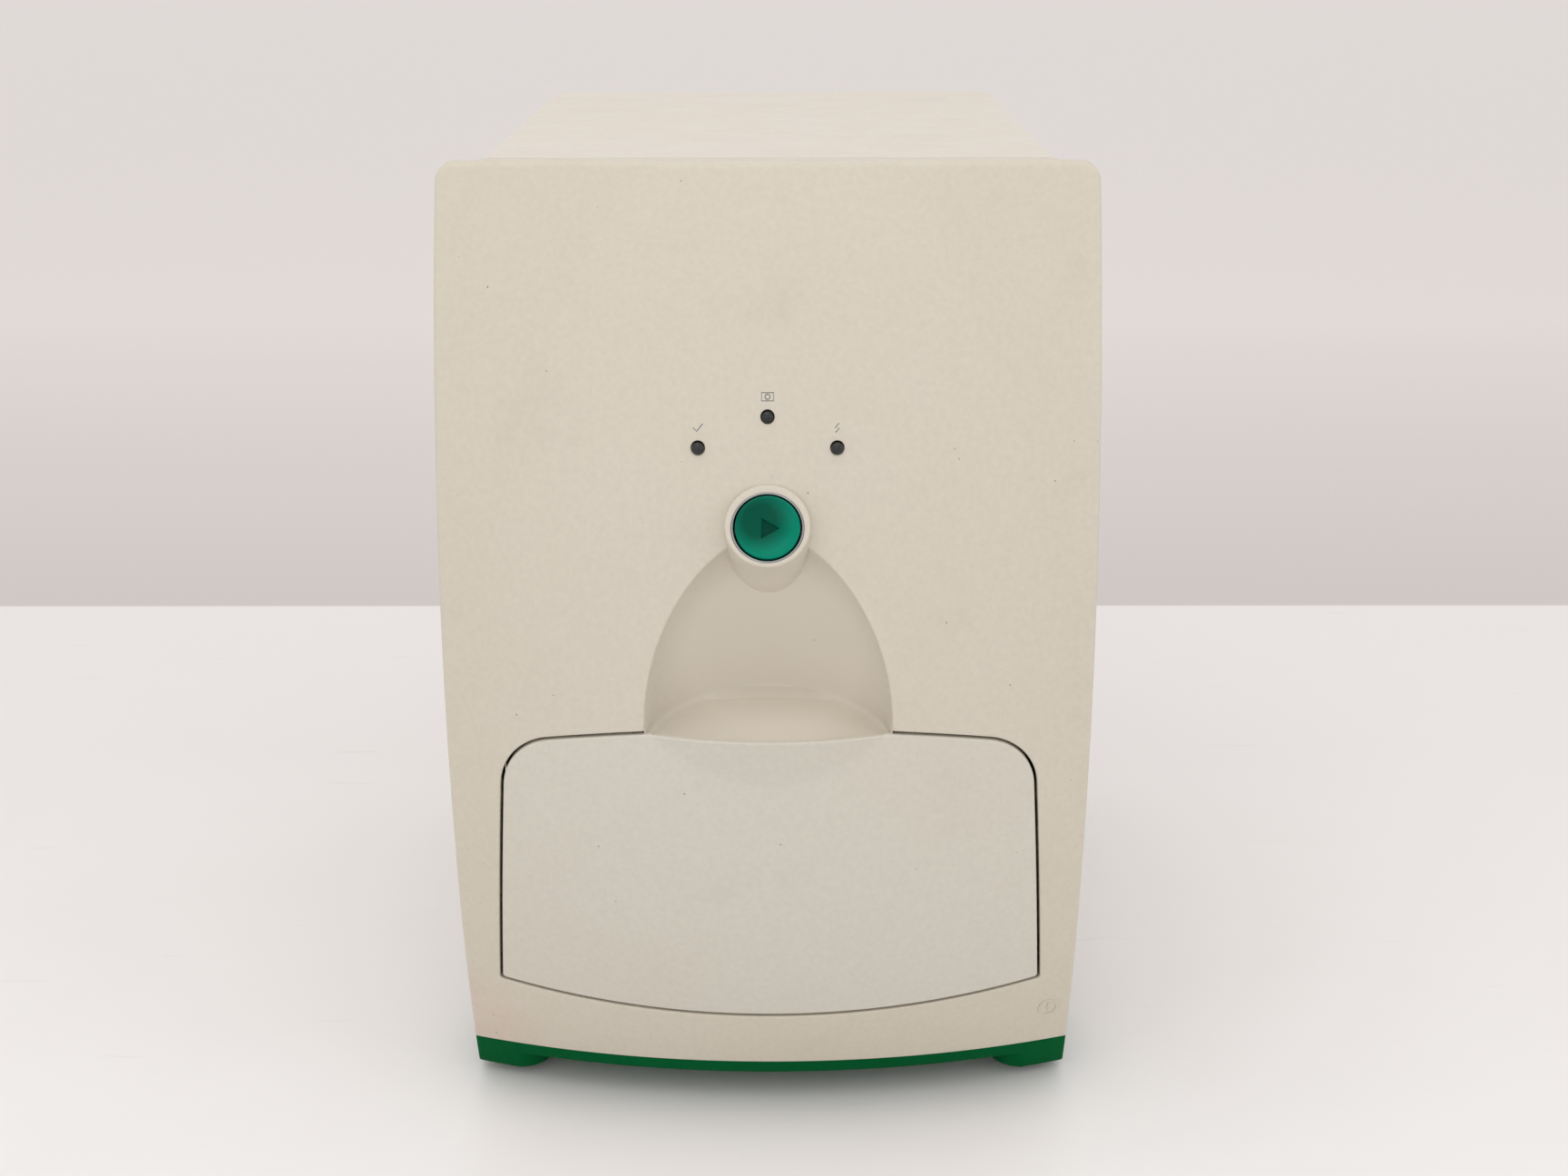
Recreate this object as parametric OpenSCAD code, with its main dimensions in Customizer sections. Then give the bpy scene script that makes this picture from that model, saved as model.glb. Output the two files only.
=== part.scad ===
// Gel documentation system: a bench-top imager with a pull-out sample drawer.
// Millimetres, +Z up, front facing -Y, origin at the centre of the footprint on the bench.

/* [Overall] */
// Overall height
body_h = 400; // [396:1:420]
// Width of the front bezel
bezel_w = 260; // [258:1:280]
// Overall depth, from the drawer lip to the rear edge of the cover
body_d = 380; // [378:1:420]
// Height of the green base, feet included
base_h = 21.5; // [20:0.5:26]

/* [Front bezel] */
// Radius of the bezel's side edge, seen from the side
frame_r = 475; // [440:5:600]
// How far the side edge's front lies behind the belly
frame_setback = 18; // [16:0.5:22]
// Plan radius of the bulging belly
belly_plan_r = 420; // [400:5:500]
// Side-view radius of the belly
belly_side_r = 447; // [430:1:520]
// Height of the belly's front-most point
belly_z = 178; // [165:1:190]
// Wall of the moulded parts
wall = 3; // [2:0.5:4]
// Thickness of the bezel's rim
rim_t = 6; // [5:0.5:9]
// How far the rim stands out from the skirt on each side
rim_overhang = 10; // [7:0.5:11]
// Radius of the bezel's upper corners
rim_corner_r = 7; // [4:0.5:12]
// Depth of the skirt, from the belly's front to the seam with the cover
skirt_d = 84; // [80:1:92]
// Gap between the drawer front and the bezel
drawer_gap = 1.2; // [0.8:0.1:1.6]

/* [Drawer front] */
// Width of the bezel beside the opening's lower corners
drawer_side = 14.75; // [14:0.25:18]
// Lean of the opening's sides, in degrees
drawer_lean = 3.9; // [2:0.1:4.5]
// Height of the opening's lowest point
drawer_z0 = 48.75; // [47:0.25:54]
// Height where the opening's top arc would peak
drawer_z1 = 187; // [185:0.5:190]
// Radius of the opening's bottom arc
drawer_bottom_r = 600; // [580:10:800]
// Radius of the opening's top arc
drawer_top_r = 544; // [520:4:620]
// Radius of the opening's upper corners
drawer_corner_r = 24; // [20:1:30]
// Reach of the lip in front of the belly
lip_reach = 6; // [4:0.5:8]
// Plan radius of the lip
lip_r = 129; // [120:1:140]
// Height of the lip's top edge
lip_z = 183.5; // [182.5:0.5:184.5]
// Height of the flare below the lip
lip_flare_h = 21; // [18:1:26]
// Half width of the lip
lip_half_w = 46; // [42:0.5:47]
// Depth from the belly's front to the back of the drawer front's rim
panel_rim_d = 38; // [34:1:42]
// Travel of the drawer
drawer_travel = 200; // [150:5:205]

/* [Finger scoop] */
// Largest radius of the scoop about its upright axis
scoop_r = 51.4; // [50:0.2:53]
// Side-view radius of the scoop's wall
scoop_side_r = 113.3; // [108:0.1:120]
// How far the scoop's axis lies in front of the belly
scoop_reach = 12; // [10:0.5:14]
// Slope of the scoop's floor, in degrees
scoop_floor_slope = 12; // [9:1:16]

/* [Start button] */
// Tilt of the button's axis above the horizontal, in degrees
button_tilt = 32; // [24:1:33]
// Height of the button's centre
button_z = 269; // [266:1:273]
// Radius of the button cap
button_r = 12.5; // [10:0.25:13]
// Travel of the button
button_travel = 2.5; // [1.5:0.25:3]
// Radial gap between the cap and its collar
button_gap = 0.7; // [0.5:0.05:0.8]
// Wall of the metal collar
collar_t = 0.8; // [0.4:0.1:0.8]
// Depth of the collar
collar_h = 7; // [5:0.5:9]
// Wall of the button's boss
boss_wall = 2.4; // [2.4:0.1:3]
// How far the boss's axis lies above the button's
boss_rise = 0.9; // [0:0.1:1]
// Length of the boss along the button's axis
boss_l = 46; // [45:1:50]
// Radius of the button's stem
stem_r = 4; // [3:0.25:5]

/* [Status lamps] */
// Height of the two outer lamps
led_z = 296.8; // [295:0.2:302]
// Sideways pitch of the lamps
led_pitch = 26.85; // [22:0.5:32]
// Rise of the middle lamp above the outer two
led_rise = 12; // [8:0.5:16]
// Radius of a lamp
led_r = 2.5; // [1.5:0.1:3]
// Distance from the belly's surface to the lamp board
led_board_depth = 11; // [9:0.5:14]

/* [Base] */
// Height of the rubber feet
foot_h = 4.5; // [3:0.5:5.5]
// Radius of the rubber feet
foot_r = 11; // [8:0.5:13]
// Thickness of the base's deck
deck_t = 7; // [6:0.5:8]
// Width of a leg
leg_w = 32; // [28:1:40]
// Length of a leg
leg_l = 44; // [36:1:52]

/* [Sheet metal] */
// Wall of the cover
cover_t = 1.2; // [0.8:0.1:1.5]
// Step from the skirt to the cover on each side
cover_step = 4; // [3.5:0.1:5]
// Step down from the rim to the cover's top
top_step = 1; // [0.5:0.1:3]
// Length of the cover tucked inside the skirt
cover_tuck = 8; // [4:0.5:14]
// Wall of the chassis and brackets
sheet_t = 1.5; // [1:0.1:2]
// Height of the chassis flanges
flange_h = 24; // [20:1:30]
// Recess of the rear panel behind the cover's edge
rear_recess = 5; // [4:0.5:9]

/* [Imaging chamber] */
// Depth of the bay behind the chamber
bay_d = 88.5; // [84:0.5:91]
// Height of the chamber's lower edge
chamber_z = 150; // [150:1:153]
// Space between the camera and the cover
camera_room = 8.3; // [8.3:0.5:30.3]
// Space between each slide rail and the cover's flange
rail_room = 8.5; // [7.8:0.1:9.8]
// Height of the carrier's underside
carrier_z = 118; // [117.5:0.5:120]
// Height of the carrier's walls
carrier_h = 28; // [24:1:28]
// Space between the tray and each side of the carrier
tray_side = 10.3; // [9.3:0.5:18.3]
// Space between the tray and each end of the chamber
tray_end = 8.5; // [7.5:0.5:19.5]
// Height of the sample tray
tray_h = 18; // [12:1:20]
// Rim of the sample tray's window
tray_rim = 12; // [8:1:20]
// Thickness of the tray's window
glass_t = 3; // [2:0.5:4]
// Lift of the tray out of its carrier
tray_lift = 25; // [20:1:28]
// Thickness of the light seal
seal_t = 3; // [2:0.5:3.5]
// Radius of the lens barrel
lens_r = 24; // [18:0.5:26]
// Length of the lens
lens_l = 38; // [30:1:40]
// Side of the square camera body
camera_w = 58; // [44:1:60]
// Height of the camera body
camera_h = 42; // [34:1:44]
// Length of each overhead light strip
strip_l = 120; // [80:2:150]

/* [Lamp box] */
// How far the lamp box's sides lie inside the carrier's
lamp_box_side = 9.3; // [6.3:0.5:13.3]
// Height of the lamp box above the chassis floor
lamp_box_h = 93; // [80:1:93]
// Radius of a lamp tube
tube_r = 8; // [6:0.5:9]
// Number of lamp tubes
tube_count = 4; // [3:1:4]
// Distance from the end tubes to the ends of the lamp box
tube_margin = 32; // [26:1:44]
// Height of the tubes above the lamp box floor
tube_rise = 37; // [34:1:45]
// Thickness of the lamp window
window_t = 3; // [2:0.5:4]

/* [Slide rails] */
// How far the rails run on behind the chamber
rail_overrun = 27; // [21:1:31]
// Height of the outer rail
rail_h = 34; // [30:0.5:34]
// Thickness of a whole rail
rail_w = 12.7; // [12:0.1:14]
// Wall of a rail
rail_t = 1.2; // [1:0.1:1.4]
// Running clearance between rail sections
rail_gap = 0.35; // [0.3:0.05:0.5]

/* [Fan] */
// Side of the square fan frame
fan_w = 80; // [70:1:92]
// Depth of the fan
fan_d = 25; // [20:1:32]
// Number of blades
blade_count = 7; // [5:1:9]
// Distance from the fan's middle to the cover's side
fan_side = 64; // [60:1:68]
// Height of the fan's centre
fan_z = 300; // [280:1:320]

/* [Power switch] */
// Height of the rocker switch
switch_h = 24; // [22:0.5:28]
// Width of the rocker switch
switch_w = 17; // [15:0.5:20]
// Height of the switch's centre
switch_z = 54; // [50:1:58]
// Throw of the rocker, in degrees
rocker_throw = 16; // [10:1:18]

/* [Rear sockets] */
// Distance from the sockets' middle to the cover's side
socket_side = 38; // [32:1:44]
// Height of the power inlet
inlet_z = 72; // [68:1:78]
// Height of the data socket
usb_z = 120; // [110:1:130]
// Travel of the fuse drawer
fuse_travel = 14; // [10:1:16]

/* [Hidden] */
$fn = 96;
big_fn = 240;
far = 700;

cream = [0.85, 0.81, 0.74];
cream_grey = [0.81, 0.78, 0.73];
green = [0.02, 0.36, 0.18];
teal = [0.02, 0.45, 0.33];
steel = [0.66, 0.67, 0.69];
black = [0.07, 0.07, 0.08];
glass = [0.45, 0.42, 0.62, 0.7];
board = [0.08, 0.34, 0.20];

// Clearances between fixed pieces, and between a moving piece and its seat
fit = 0.3;
run = 0.35;
touch = 0.05;

// Depth planes, front to back
lip_y = -body_d / 2;
belly_y = lip_y + lip_reach;
belly_cy = belly_y + belly_plan_r;
frame_cy = belly_y + frame_setback + frame_r;
frame_cz = body_h / 2;
seam_y = belly_y + skirt_d;
front_frame_y = seam_y + 3;
inner_y = front_frame_y + sheet_t + 1.5;
rear_y = body_d / 2;
rear_out = rear_y - rear_recess;
rear_in = rear_out - sheet_t;
chamber_y1 = rear_in - bay_d;
chamber_l = chamber_y1 - inner_y;
stage_y = inner_y + chamber_l / 2;

// Half widths
skirt_x = bezel_w / 2 - rim_overhang;
cover_x = skirt_x - cover_step;
cover_in_x = cover_x - cover_t;
flange_x = cover_in_x - fit;
fan_x = cover_x - fan_side;
socket_x = -cover_x + socket_side;
cover_top = body_h - top_step;
cover_in_top = cover_top - cover_t;
floor_z = base_h + sheet_t;
drawer_half_w = bezel_w / 2 - drawer_side;

// The camera stands on the chamber, just under the cover
holder_h = 8;
chamber_h = cover_in_top - camera_room - sheet_t - camera_h - lens_l - holder_h - chamber_z;

// The carrier runs between the slide rails, and the tray and the lamp box keep within it
carrier_w = 2 * (flange_x - rail_room - rail_w);
tray_w = carrier_w - 2 * tray_side;
tray_l = chamber_l - 2 * tray_end;
lamp_box_w = carrier_w - 2 * lamp_box_side;
rail_l = chamber_l + rail_overrun;

// Centre-line of the belly, and of a surface that lies o inside it
function belly_at(z, o = 0) =
    belly_cy - (belly_plan_r - belly_side_r
    + sqrt(pow(belly_side_r - o, 2) - pow(z - belly_z, 2)));
// Side view of the bezel's edge, o inside it
function frame_at(z, o = 0) = frame_cy - sqrt(pow(frame_r - o, 2) - pow(z - frame_cz, 2));

// ---------- Shared shapes ----------

// A box from one corner to the other
module block(a, b) {
    translate(a)
        cube(b - a);
}

// A box given by its middle in x, mirrored about the middle plane
module wide_block(half_x, y0, y1, z0, z1) {
    block([-half_x, y0, z0], [half_x, y1, z1]);
}

// A cylinder that runs along +Y from p
module rod_y(p, r, l) {
    translate(p)
        rotate([-90, 0, 0])
            cylinder(r = r, h = l);
}

// A cylinder that runs along +X from p
module rod_x(p, r, l) {
    translate(p)
        rotate([0, 90, 0])
            cylinder(r = r, h = l);
}

// Draws its children again on the other side of the middle plane
module both_sides() {
    children();
    mirror([1, 0, 0])
        children();
}

// A flat outline in x and z, drawn through the depth from y0 to y1
module prism_y(y0, y1) {
    translate([0, y1, 0])
        rotate([90, 0, 0])
            linear_extrude(y1 - y0)
                children();
}

// A screw: head at its children's origin pointing to +Z, shank below it
module screw(head_r, head_h, shank_r, shank_l) {
    cylinder(r = head_r, h = head_h);
    translate([0, 0, -shank_l])
        cylinder(r = shank_r, h = shank_l + head_h / 2);
}

// Everything behind the front surface, o inside it: the frame's arc and the belly's bulge
module front_solid(o = 0) {
    rod_x([-bezel_w, frame_cy, frame_cz], frame_r - o, 2 * bezel_w, $fn = big_fn);
    belly_solid(o);
}

module belly_solid(o = 0) {
    translate([0, belly_cy, 0])
        rotate_extrude($fn = big_fn)
            intersection() {
                translate([belly_plan_r - belly_side_r, belly_z])
                    circle(r = belly_side_r - o, $fn = big_fn);
                translate([0, belly_z - far / 2])
                    square([far, far]);
            }
}

// Outline of the bezel's rim in x and z
module rim_outline() {
    r = rim_corner_r;
    half = bezel_w / 2;
    translate([-half, base_h])
        square([bezel_w, body_h - base_h - r]);
    translate([-half + r, base_h])
        square([bezel_w - 2 * r, body_h - base_h]);
    for (s = [-1, 1])
        translate([s * (half - r), body_h - r])
            circle(r = r);
}

// ---------- Drawer outline ----------

side_tan = tan(drawer_lean);
side_x0 = drawer_half_w + side_tan * (drawer_z0 + 10);
top_oz = drawer_z1 - drawer_top_r;
// The upper corner's centre touches the leaning side and the top arc
corner_b = side_x0 - drawer_corner_r / cos(drawer_lean) - side_tan * top_oz;
corner_d = drawer_top_r - drawer_corner_r;
corner_q = 1 + side_tan * side_tan;
corner_dz = (corner_b * side_tan
    + sqrt(pow(corner_b * side_tan, 2) - corner_q * (corner_b * corner_b - corner_d * corner_d)))
    / corner_q;
corner_c = [corner_b - side_tan * corner_dz, top_oz + corner_dz];
corner_side_dir = [cos(drawer_lean), sin(drawer_lean)];
corner_top_dir = [corner_c.x, corner_dz] / norm([corner_c.x, corner_dz]);

// Outline of the drawer opening in x and z, shrunk by g
module drawer_outline(g = 0) {
    inset = g / cos(drawer_lean);
    difference() {
        intersection() {
            translate([0, drawer_z0 + drawer_bottom_r])
                circle(r = drawer_bottom_r - g, $fn = big_fn);
            translate([0, top_oz])
                circle(r = drawer_top_r - g, $fn = big_fn);
            polygon([
                [side_x0 - inset, 0],
                [side_x0 - inset - side_tan * far, far],
                [-side_x0 + inset + side_tan * far, far],
                [-side_x0 + inset, 0]
            ]);
        }
        drawer_corner(g);
        mirror([1, 0])
            drawer_corner(g);
    }
}

// What the round corner takes off the outline
module drawer_corner(g) {
    reach = 2 * drawer_corner_r;
    difference() {
        polygon([
            corner_c,
            corner_c + reach * corner_side_dir,
            corner_c + reach * (corner_side_dir + corner_top_dir),
            corner_c + reach * corner_top_dir
        ]);
        translate(corner_c)
            circle(r = drawer_corner_r - g);
    }
}

// ---------- Finger scoop ----------

scoop_cy = belly_y - scoop_reach;
scoop_mouth_z = lip_z + 3.5;
scoop_half_w = sqrt(scoop_r * scoop_r - pow(belly_at(scoop_mouth_z) + 3 - scoop_cy, 2));
// Front edge of the floor, hidden behind the lip
scoop_floor_y = belly_y;
scoop_floor_z = lip_z - 2.5;
scoop_edge_t = 1.5;

// The scoop's hollow, grown by o
module scoop_hollow(o = 0) {
    intersection() {
        translate([0, scoop_cy, 0])
            rotate_extrude($fn = big_fn)
                intersection() {
                    translate([scoop_r - scoop_side_r, scoop_mouth_z])
                        circle(r = scoop_side_r + o, $fn = big_fn);
                    translate([0, scoop_mouth_z - far / 2])
                        square([far, far]);
                }
        translate([0, scoop_floor_y, scoop_floor_z])
            rotate([scoop_floor_slope, 0, 0])
                translate([-far / 2, -far / 2, -o])
                    cube([far, far, far]);
    }
}

// ---------- Start button placement ----------

collar_r = button_r + button_gap;
boss_bore_r = collar_r + collar_t + touch;
boss_r = boss_bore_r + boss_wall;
boss_proud = 0.8;
boss_top_r = boss_r + boss_rise;
boss_top_z = button_z + boss_top_r * cos(button_tilt);
boss_y = belly_at(boss_top_z) - boss_top_r * sin(button_tilt) - boss_proud;
boss_floor = 30;

// Draws its children along the button's axis, +Z pointing out of the boss's mouth
module at_button() {
    translate([0, boss_y, button_z])
        rotate([90 - button_tilt, 0, 0])
            children();
}

// ---------- Status lamp placement ----------

led_tilt = asin((led_z - belly_z) / belly_side_r);
led_places = [[-led_pitch, 0], [0, led_rise], [led_pitch, 0]];
led_post_x = led_pitch + 9;

// Draws its children on the belly at the lamps' height, +Z pointing out of the surface
module at_lamps() {
    translate([0, belly_at(led_z), led_z])
        rotate([90 - led_tilt, 0, 0])
            children();
}

// ---------- Fasteners' places ----------

bezel_boss_x = flange_x - 16.5;
bezel_boss_low = base_h + 15;
bezel_boss_high = body_h - 28;
bezel_boss_places = [for (x = [-1, 1], z = [bezel_boss_low, bezel_boss_high])
    [x * bezel_boss_x, z]];
panel_boss_x = carrier_w / 2 - 27.3;
panel_boss_places = [for (x = [-1, 1], z = [carrier_z - 6, carrier_z + 22])
    [x * panel_boss_x, z]];
screw_r = 1.5;
screw_hole_r = 1.75;
screw_head_r = 3;
screw_head_h = 2;
cover_screw_z = floor_z + flange_h / 2;
cover_screws_low = [inner_y + 34, stage_y + 60, rear_in - 34];
rear_flange_d = 16;
rear_screw_y = rear_in - rear_flange_d / 2;
rear_screw_zs = [for (share = [0.375, 0.65, 0.925]) share * body_h];
foot_x = bezel_w / 2 - leg_w / 2;
foot_x_rear = skirt_x - leg_w / 2;
leg_front_y = frame_at(foot_h + 2) + 4;
foot_y_front = leg_front_y + leg_l / 2;
foot_y_rear = rear_y - leg_l / 2 - 2;
foot_places = [
    [-foot_x, foot_y_front], [foot_x, foot_y_front],
    [-foot_x_rear, foot_y_rear], [foot_x_rear, foot_y_rear]
];

// ---------- Bezel ----------

return_d = 16;

module front_bezel() {
    color(cream)
        difference() {
            union() {
                difference() {
                    bezel_shell();
                    scoop_hollow();
                }
                bezel_boss();
            }
            at_button()
                button_bore();
            lamp_holes();
            switch_cutout();
            for (p = bezel_boss_places)
                rod_y([p.x, front_frame_y - 12, p.y], screw_r + touch, 13);
        }
}

module bezel_shell() {
    difference() {
        union() {
            bezel_face();
            bezel_skirt();
            intersection() {
                front_solid();
                scoop_hollow(wall);
            }
            drawer_return();
            bezel_bosses();
            lamp_posts();
        }
        prism_y(lip_y - 10, seam_y + 1)
            opening_outline();
        lip_room();
    }
    power_mark();
}

// The face: the front surface's shell inside the rim's outline
module bezel_face() {
    difference() {
        intersection() {
            front_solid();
            prism_y(lip_y - 10, seam_y)
                rim_outline();
        }
        front_solid(rim_t);
    }
}

// Walls that run back from the rim: to the seam at the sides and below, to the cover on top
module bezel_skirt() {
    intersection() {
        front_solid(rim_t / 2);
        union() {
            both_sides()
                block([skirt_x - wall, lip_y, base_h], [skirt_x, seam_y, cover_top]);
            wide_block(skirt_x - 1, lip_y, cover_y0 - fit, base_h, base_h + wall);
            wide_block(skirt_x - 1, lip_y, cover_top_y0 - fit, cover_top - wall, cover_top);
        }
    }
}

// The drawer opening, lower in the middle, where the scoop's floor closes it
module opening_outline() {
    difference() {
        drawer_outline();
        translate([-scoop_half_w, scoop_floor_z - scoop_edge_t])
            square([2 * scoop_half_w, 40]);
    }
}

// Room for the drawer front's lip in front of the scoop's floor
module lip_room() {
    room = wall + drawer_gap;
    difference() {
        wide_block(scoop_half_w, lip_y - 10, scoop_cy + scoop_r, scoop_floor_z - 8, lip_z + drawer_gap);
        belly_solid(room);
        lip_solid(room);
    }
}

// A thin wall that runs back round the drawer opening
module drawer_return() {
    difference() {
        intersection() {
            front_solid(rim_t / 2);
            prism_y(lip_y, seam_y)
                difference() {
                    drawer_outline(-wall / 2);
                    drawer_outline();
                }
        }
        front_solid(return_d);
        wide_block(scoop_half_w + wall, lip_y, seam_y, lip_z - 12, body_h);
    }
}

// Screw bosses behind the four corners
module bezel_bosses() {
    intersection() {
        front_solid(rim_t / 2);
        for (p = bezel_boss_places)
            rod_y([p.x, lip_y, p.y], 5, front_frame_y - lip_y);
    }
}

// Posts that carry the lamp board
module lamp_posts() {
    intersection() {
        front_solid(rim_t / 2);
        at_lamps()
            both_sides()
                translate([led_post_x, 0, -led_board_depth])
                    cylinder(r = 3.2, h = led_board_depth);
    }
}

// The tilted boss that holds the start button
module bezel_boss() {
    at_button()
        translate([0, boss_rise, -boss_l])
            cylinder(r = boss_r, h = boss_l);
}

module button_bore() {
    translate([0, 0, -boss_floor])
        cylinder(r = boss_bore_r, h = boss_floor + 30);
    translate([0, 0, -boss_floor - wall - 1])
        cylinder(r = stem_r + run, h = wall + 2);
    translate([0, 0, -boss_l - 1])
        cylinder(r = boss_bore_r - 2, h = boss_l - boss_floor - wall + 1);
}

module lamp_holes() {
    at_lamps()
        for (p = led_places)
            translate([p.x, p.y, -led_board_depth])
                cylinder(r = led_r + 0.2, h = led_board_depth + 10);
}

// A raised ring with an upright bar: the mark for mains power
power_mark_c = [bezel_w / 2 - 10, base_h + 20.3];
power_mark_r = 4.3;
power_mark_line = 0.7;

module power_mark() {
    difference() {
        intersection() {
            front_solid(-0.4);
            prism_y(lip_y, seam_y)
                translate(power_mark_c) {
                    difference() {
                        circle(r = power_mark_r);
                        circle(r = power_mark_r - power_mark_line);
                    }
                    translate([-power_mark_line / 2, -power_mark_r / 2])
                        square([power_mark_line, power_mark_r]);
                }
        }
        front_solid(rim_t / 2);
    }
}

module switch_cutout() {
    block([skirt_x - wall - 1, switch_y - switch_body_w / 2 - fit, switch_z - switch_body_h / 2 - fit],
        [skirt_x + 1, switch_y + switch_body_w / 2 + fit, switch_z + switch_body_h / 2 + fit]);
}

// ---------- Drawer front ----------

lip_cy = lip_y + lip_r;
flare_z = lip_z - lip_flare_h;
lip_low_r = lip_cy - belly_at(flare_z);
// The flare's cone reaches the lip's radius at its top edge and runs on above it
lip_over = 5;
lip_over_r = (lip_r - lip_low_r) * lip_over / lip_flare_h;

// The flared lip in front of the belly, o inside it
module lip_solid(o = 0) {
    translate([0, lip_cy, flare_z])
        cylinder(r1 = lip_low_r - o, r2 = lip_r + lip_over_r - o, h = lip_flare_h + lip_over, $fn = big_fn);
}

// Everything above the lip's top edge is open
module above_lip() {
    translate([-lip_half_w, lip_z])
        square([2 * lip_half_w, 40]);
}

module drawer_front() {
    color(cream_grey)
        difference() {
            union() {
                panel_shell();
                panel_rim();
                panel_bosses();
            }
            for (p = panel_boss_places)
                rod_y([p.x, carrier_y0 - 8, p.y], screw_r + touch, 9);
        }
}

module panel_shell() {
    difference() {
        intersection() {
            union() {
                belly_solid();
                lip_solid();
            }
            prism_y(lip_y - 10, seam_y)
                difference() {
                    drawer_outline(drawer_gap);
                    above_lip();
                }
        }
        belly_solid(wall);
        lip_solid(wall);
    }
}

// The wall that runs back round the panel's edge, open behind the lip
module panel_rim() {
    intersection() {
        belly_solid(wall / 2);
        difference() {
            prism_y(lip_y, belly_y + panel_rim_d)
                difference() {
                    drawer_outline(drawer_gap);
                    drawer_outline(drawer_gap + wall / 2);
                }
            wide_block(scoop_half_w + 2 * wall, lip_y - 1, seam_y, scoop_floor_z - 4, body_h);
        }
    }
}

module panel_bosses() {
    intersection() {
        belly_solid(wall / 2);
        for (p = panel_boss_places)
            rod_y([p.x, lip_y, p.y], 4.5, carrier_y0 - lip_y);
    }
}

// ---------- Base ----------

// Plan of the base: full width under the bezel, skirt width behind it
module base_plan() {
    translate([-bezel_w / 2, lip_y])
        square([bezel_w, seam_y - lip_y]);
    translate([-skirt_x, seam_y - 1])
        square([2 * skirt_x, rear_y - seam_y + 1]);
}

deck_z = base_h - deck_t;
leg_corner_r = 13;
// The belly's surface above the middle of a front leg
leg_y0 = belly_cy - sqrt(pow(belly_cy - belly_at(deck_z), 2) - pow(foot_x, 2));

module base_plinth() {
    color(green)
        difference() {
            intersection() {
                front_solid(0.8);
                union() {
                    translate([0, 0, deck_z])
                        linear_extrude(deck_t - fit)
                            base_plan();
                    translate([0, 0, foot_h])
                        linear_extrude(deck_z - foot_h)
                            leg_plans();
                }
            }
            deck_pocket();
            for (p = foot_places)
                translate([p.x, p.y, 0])
                    cylinder(r = screw_hole_r, h = base_h + 1);
        }
}

// Four legs, each with a round corner at the front of its inner side
module leg_plans() {
    both_sides() {
        leg_plan(foot_x, leg_y0, foot_y_front + leg_l / 2);
        leg_plan(foot_x_rear, foot_y_rear - leg_l / 2, rear_y);
    }
}

module leg_plan(x, y0, y1) {
    r = leg_corner_r;
    x0 = x - leg_w / 2;
    translate([x0 + r, y0])
        square([leg_w - r, y1 - y0]);
    translate([x0, y0 + r])
        square([leg_w, y1 - y0 - r]);
    translate([x0 + r, y0 + r])
        circle(r = r);
}

// The underside between the legs is hollow
module deck_pocket() {
    wide_block(skirt_x - leg_w - 4, foot_y_front + leg_l / 2, foot_y_rear - leg_l / 2,
        deck_z - 1, base_h - wall);
}

module rubber_feet() {
    color(black)
        for (p = foot_places)
            translate([p.x, p.y, 0])
                difference() {
                    cylinder(r = foot_r, h = foot_h);
                    cylinder(r = screw_head_r + 0.5, h = foot_h - 1);
                    cylinder(r = screw_hole_r, h = foot_h + 1);
                }
}

module foot_screws() {
    color(steel)
        for (p = foot_places)
            translate([p.x, p.y, foot_h - 1])
                rotate([180, 0, 0])
                    screw(screw_head_r, foot_h - 1.4, screw_r, base_h - foot_h + 1);
}

// ---------- Chassis and cover ----------

module chassis_pan() {
    color(steel)
        difference() {
            union() {
                wide_block(flange_x, inner_y, rear_in, base_h, floor_z);
                both_sides()
                    block([flange_x - sheet_t, inner_y, base_h], [flange_x, rear_in, floor_z + flange_h]);
                wide_block(flange_x, rear_in - sheet_t, rear_in, base_h, floor_z + flange_h / 2);
                wide_block(flange_x, front_frame_y + sheet_t, inner_y + sheet_t,
                    base_h, bezel_boss_low - screw_head_r - 1);
            }
            both_sides()
                for (y = cover_screws_low)
                    rod_x([flange_x - 10, y, cover_screw_z], screw_hole_r, 20);
            for (p = foot_places)
                translate([p.x, p.y, 0])
                    cylinder(r = screw_hole_r, h = 60);
            for (s = [-1, 1])
                rod_y([s * 40, rear_in - 10, floor_z + flange_h / 4], screw_hole_r, 20);
        }
}

frame_window_x = carrier_w / 2 + rail_w + 2;
// Room for the button's board and its wires
button_window = [30, button_z - 45, button_z - 15];

module front_frame() {
    color(steel)
        difference() {
            wide_block(flange_x, front_frame_y, front_frame_y + sheet_t, base_h, cover_in_top - fit);
            wide_block(frame_window_x, front_frame_y - 1, front_frame_y + sheet_t + 1,
                drawer_z0 + 2, drawer_z1 - 6);
            for (p = bezel_boss_places)
                rod_y([p.x, front_frame_y - 1, p.y], screw_hole_r, 6);
            wide_block(button_window[0], front_frame_y - 1, front_frame_y + sheet_t + 1,
                button_window[1], button_window[2]);
        }
}

module bezel_screws() {
    color(steel)
        for (p = bezel_boss_places)
            translate([p.x, front_frame_y + sheet_t, p.y])
                rotate([-90, 0, 0])
                    screw(screw_head_r, screw_head_h, screw_r, sheet_t + 10);
}

cover_y0 = seam_y - cover_tuck;
cover_top_y0 = frame_at(cover_top, rim_t) + fit;

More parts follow.
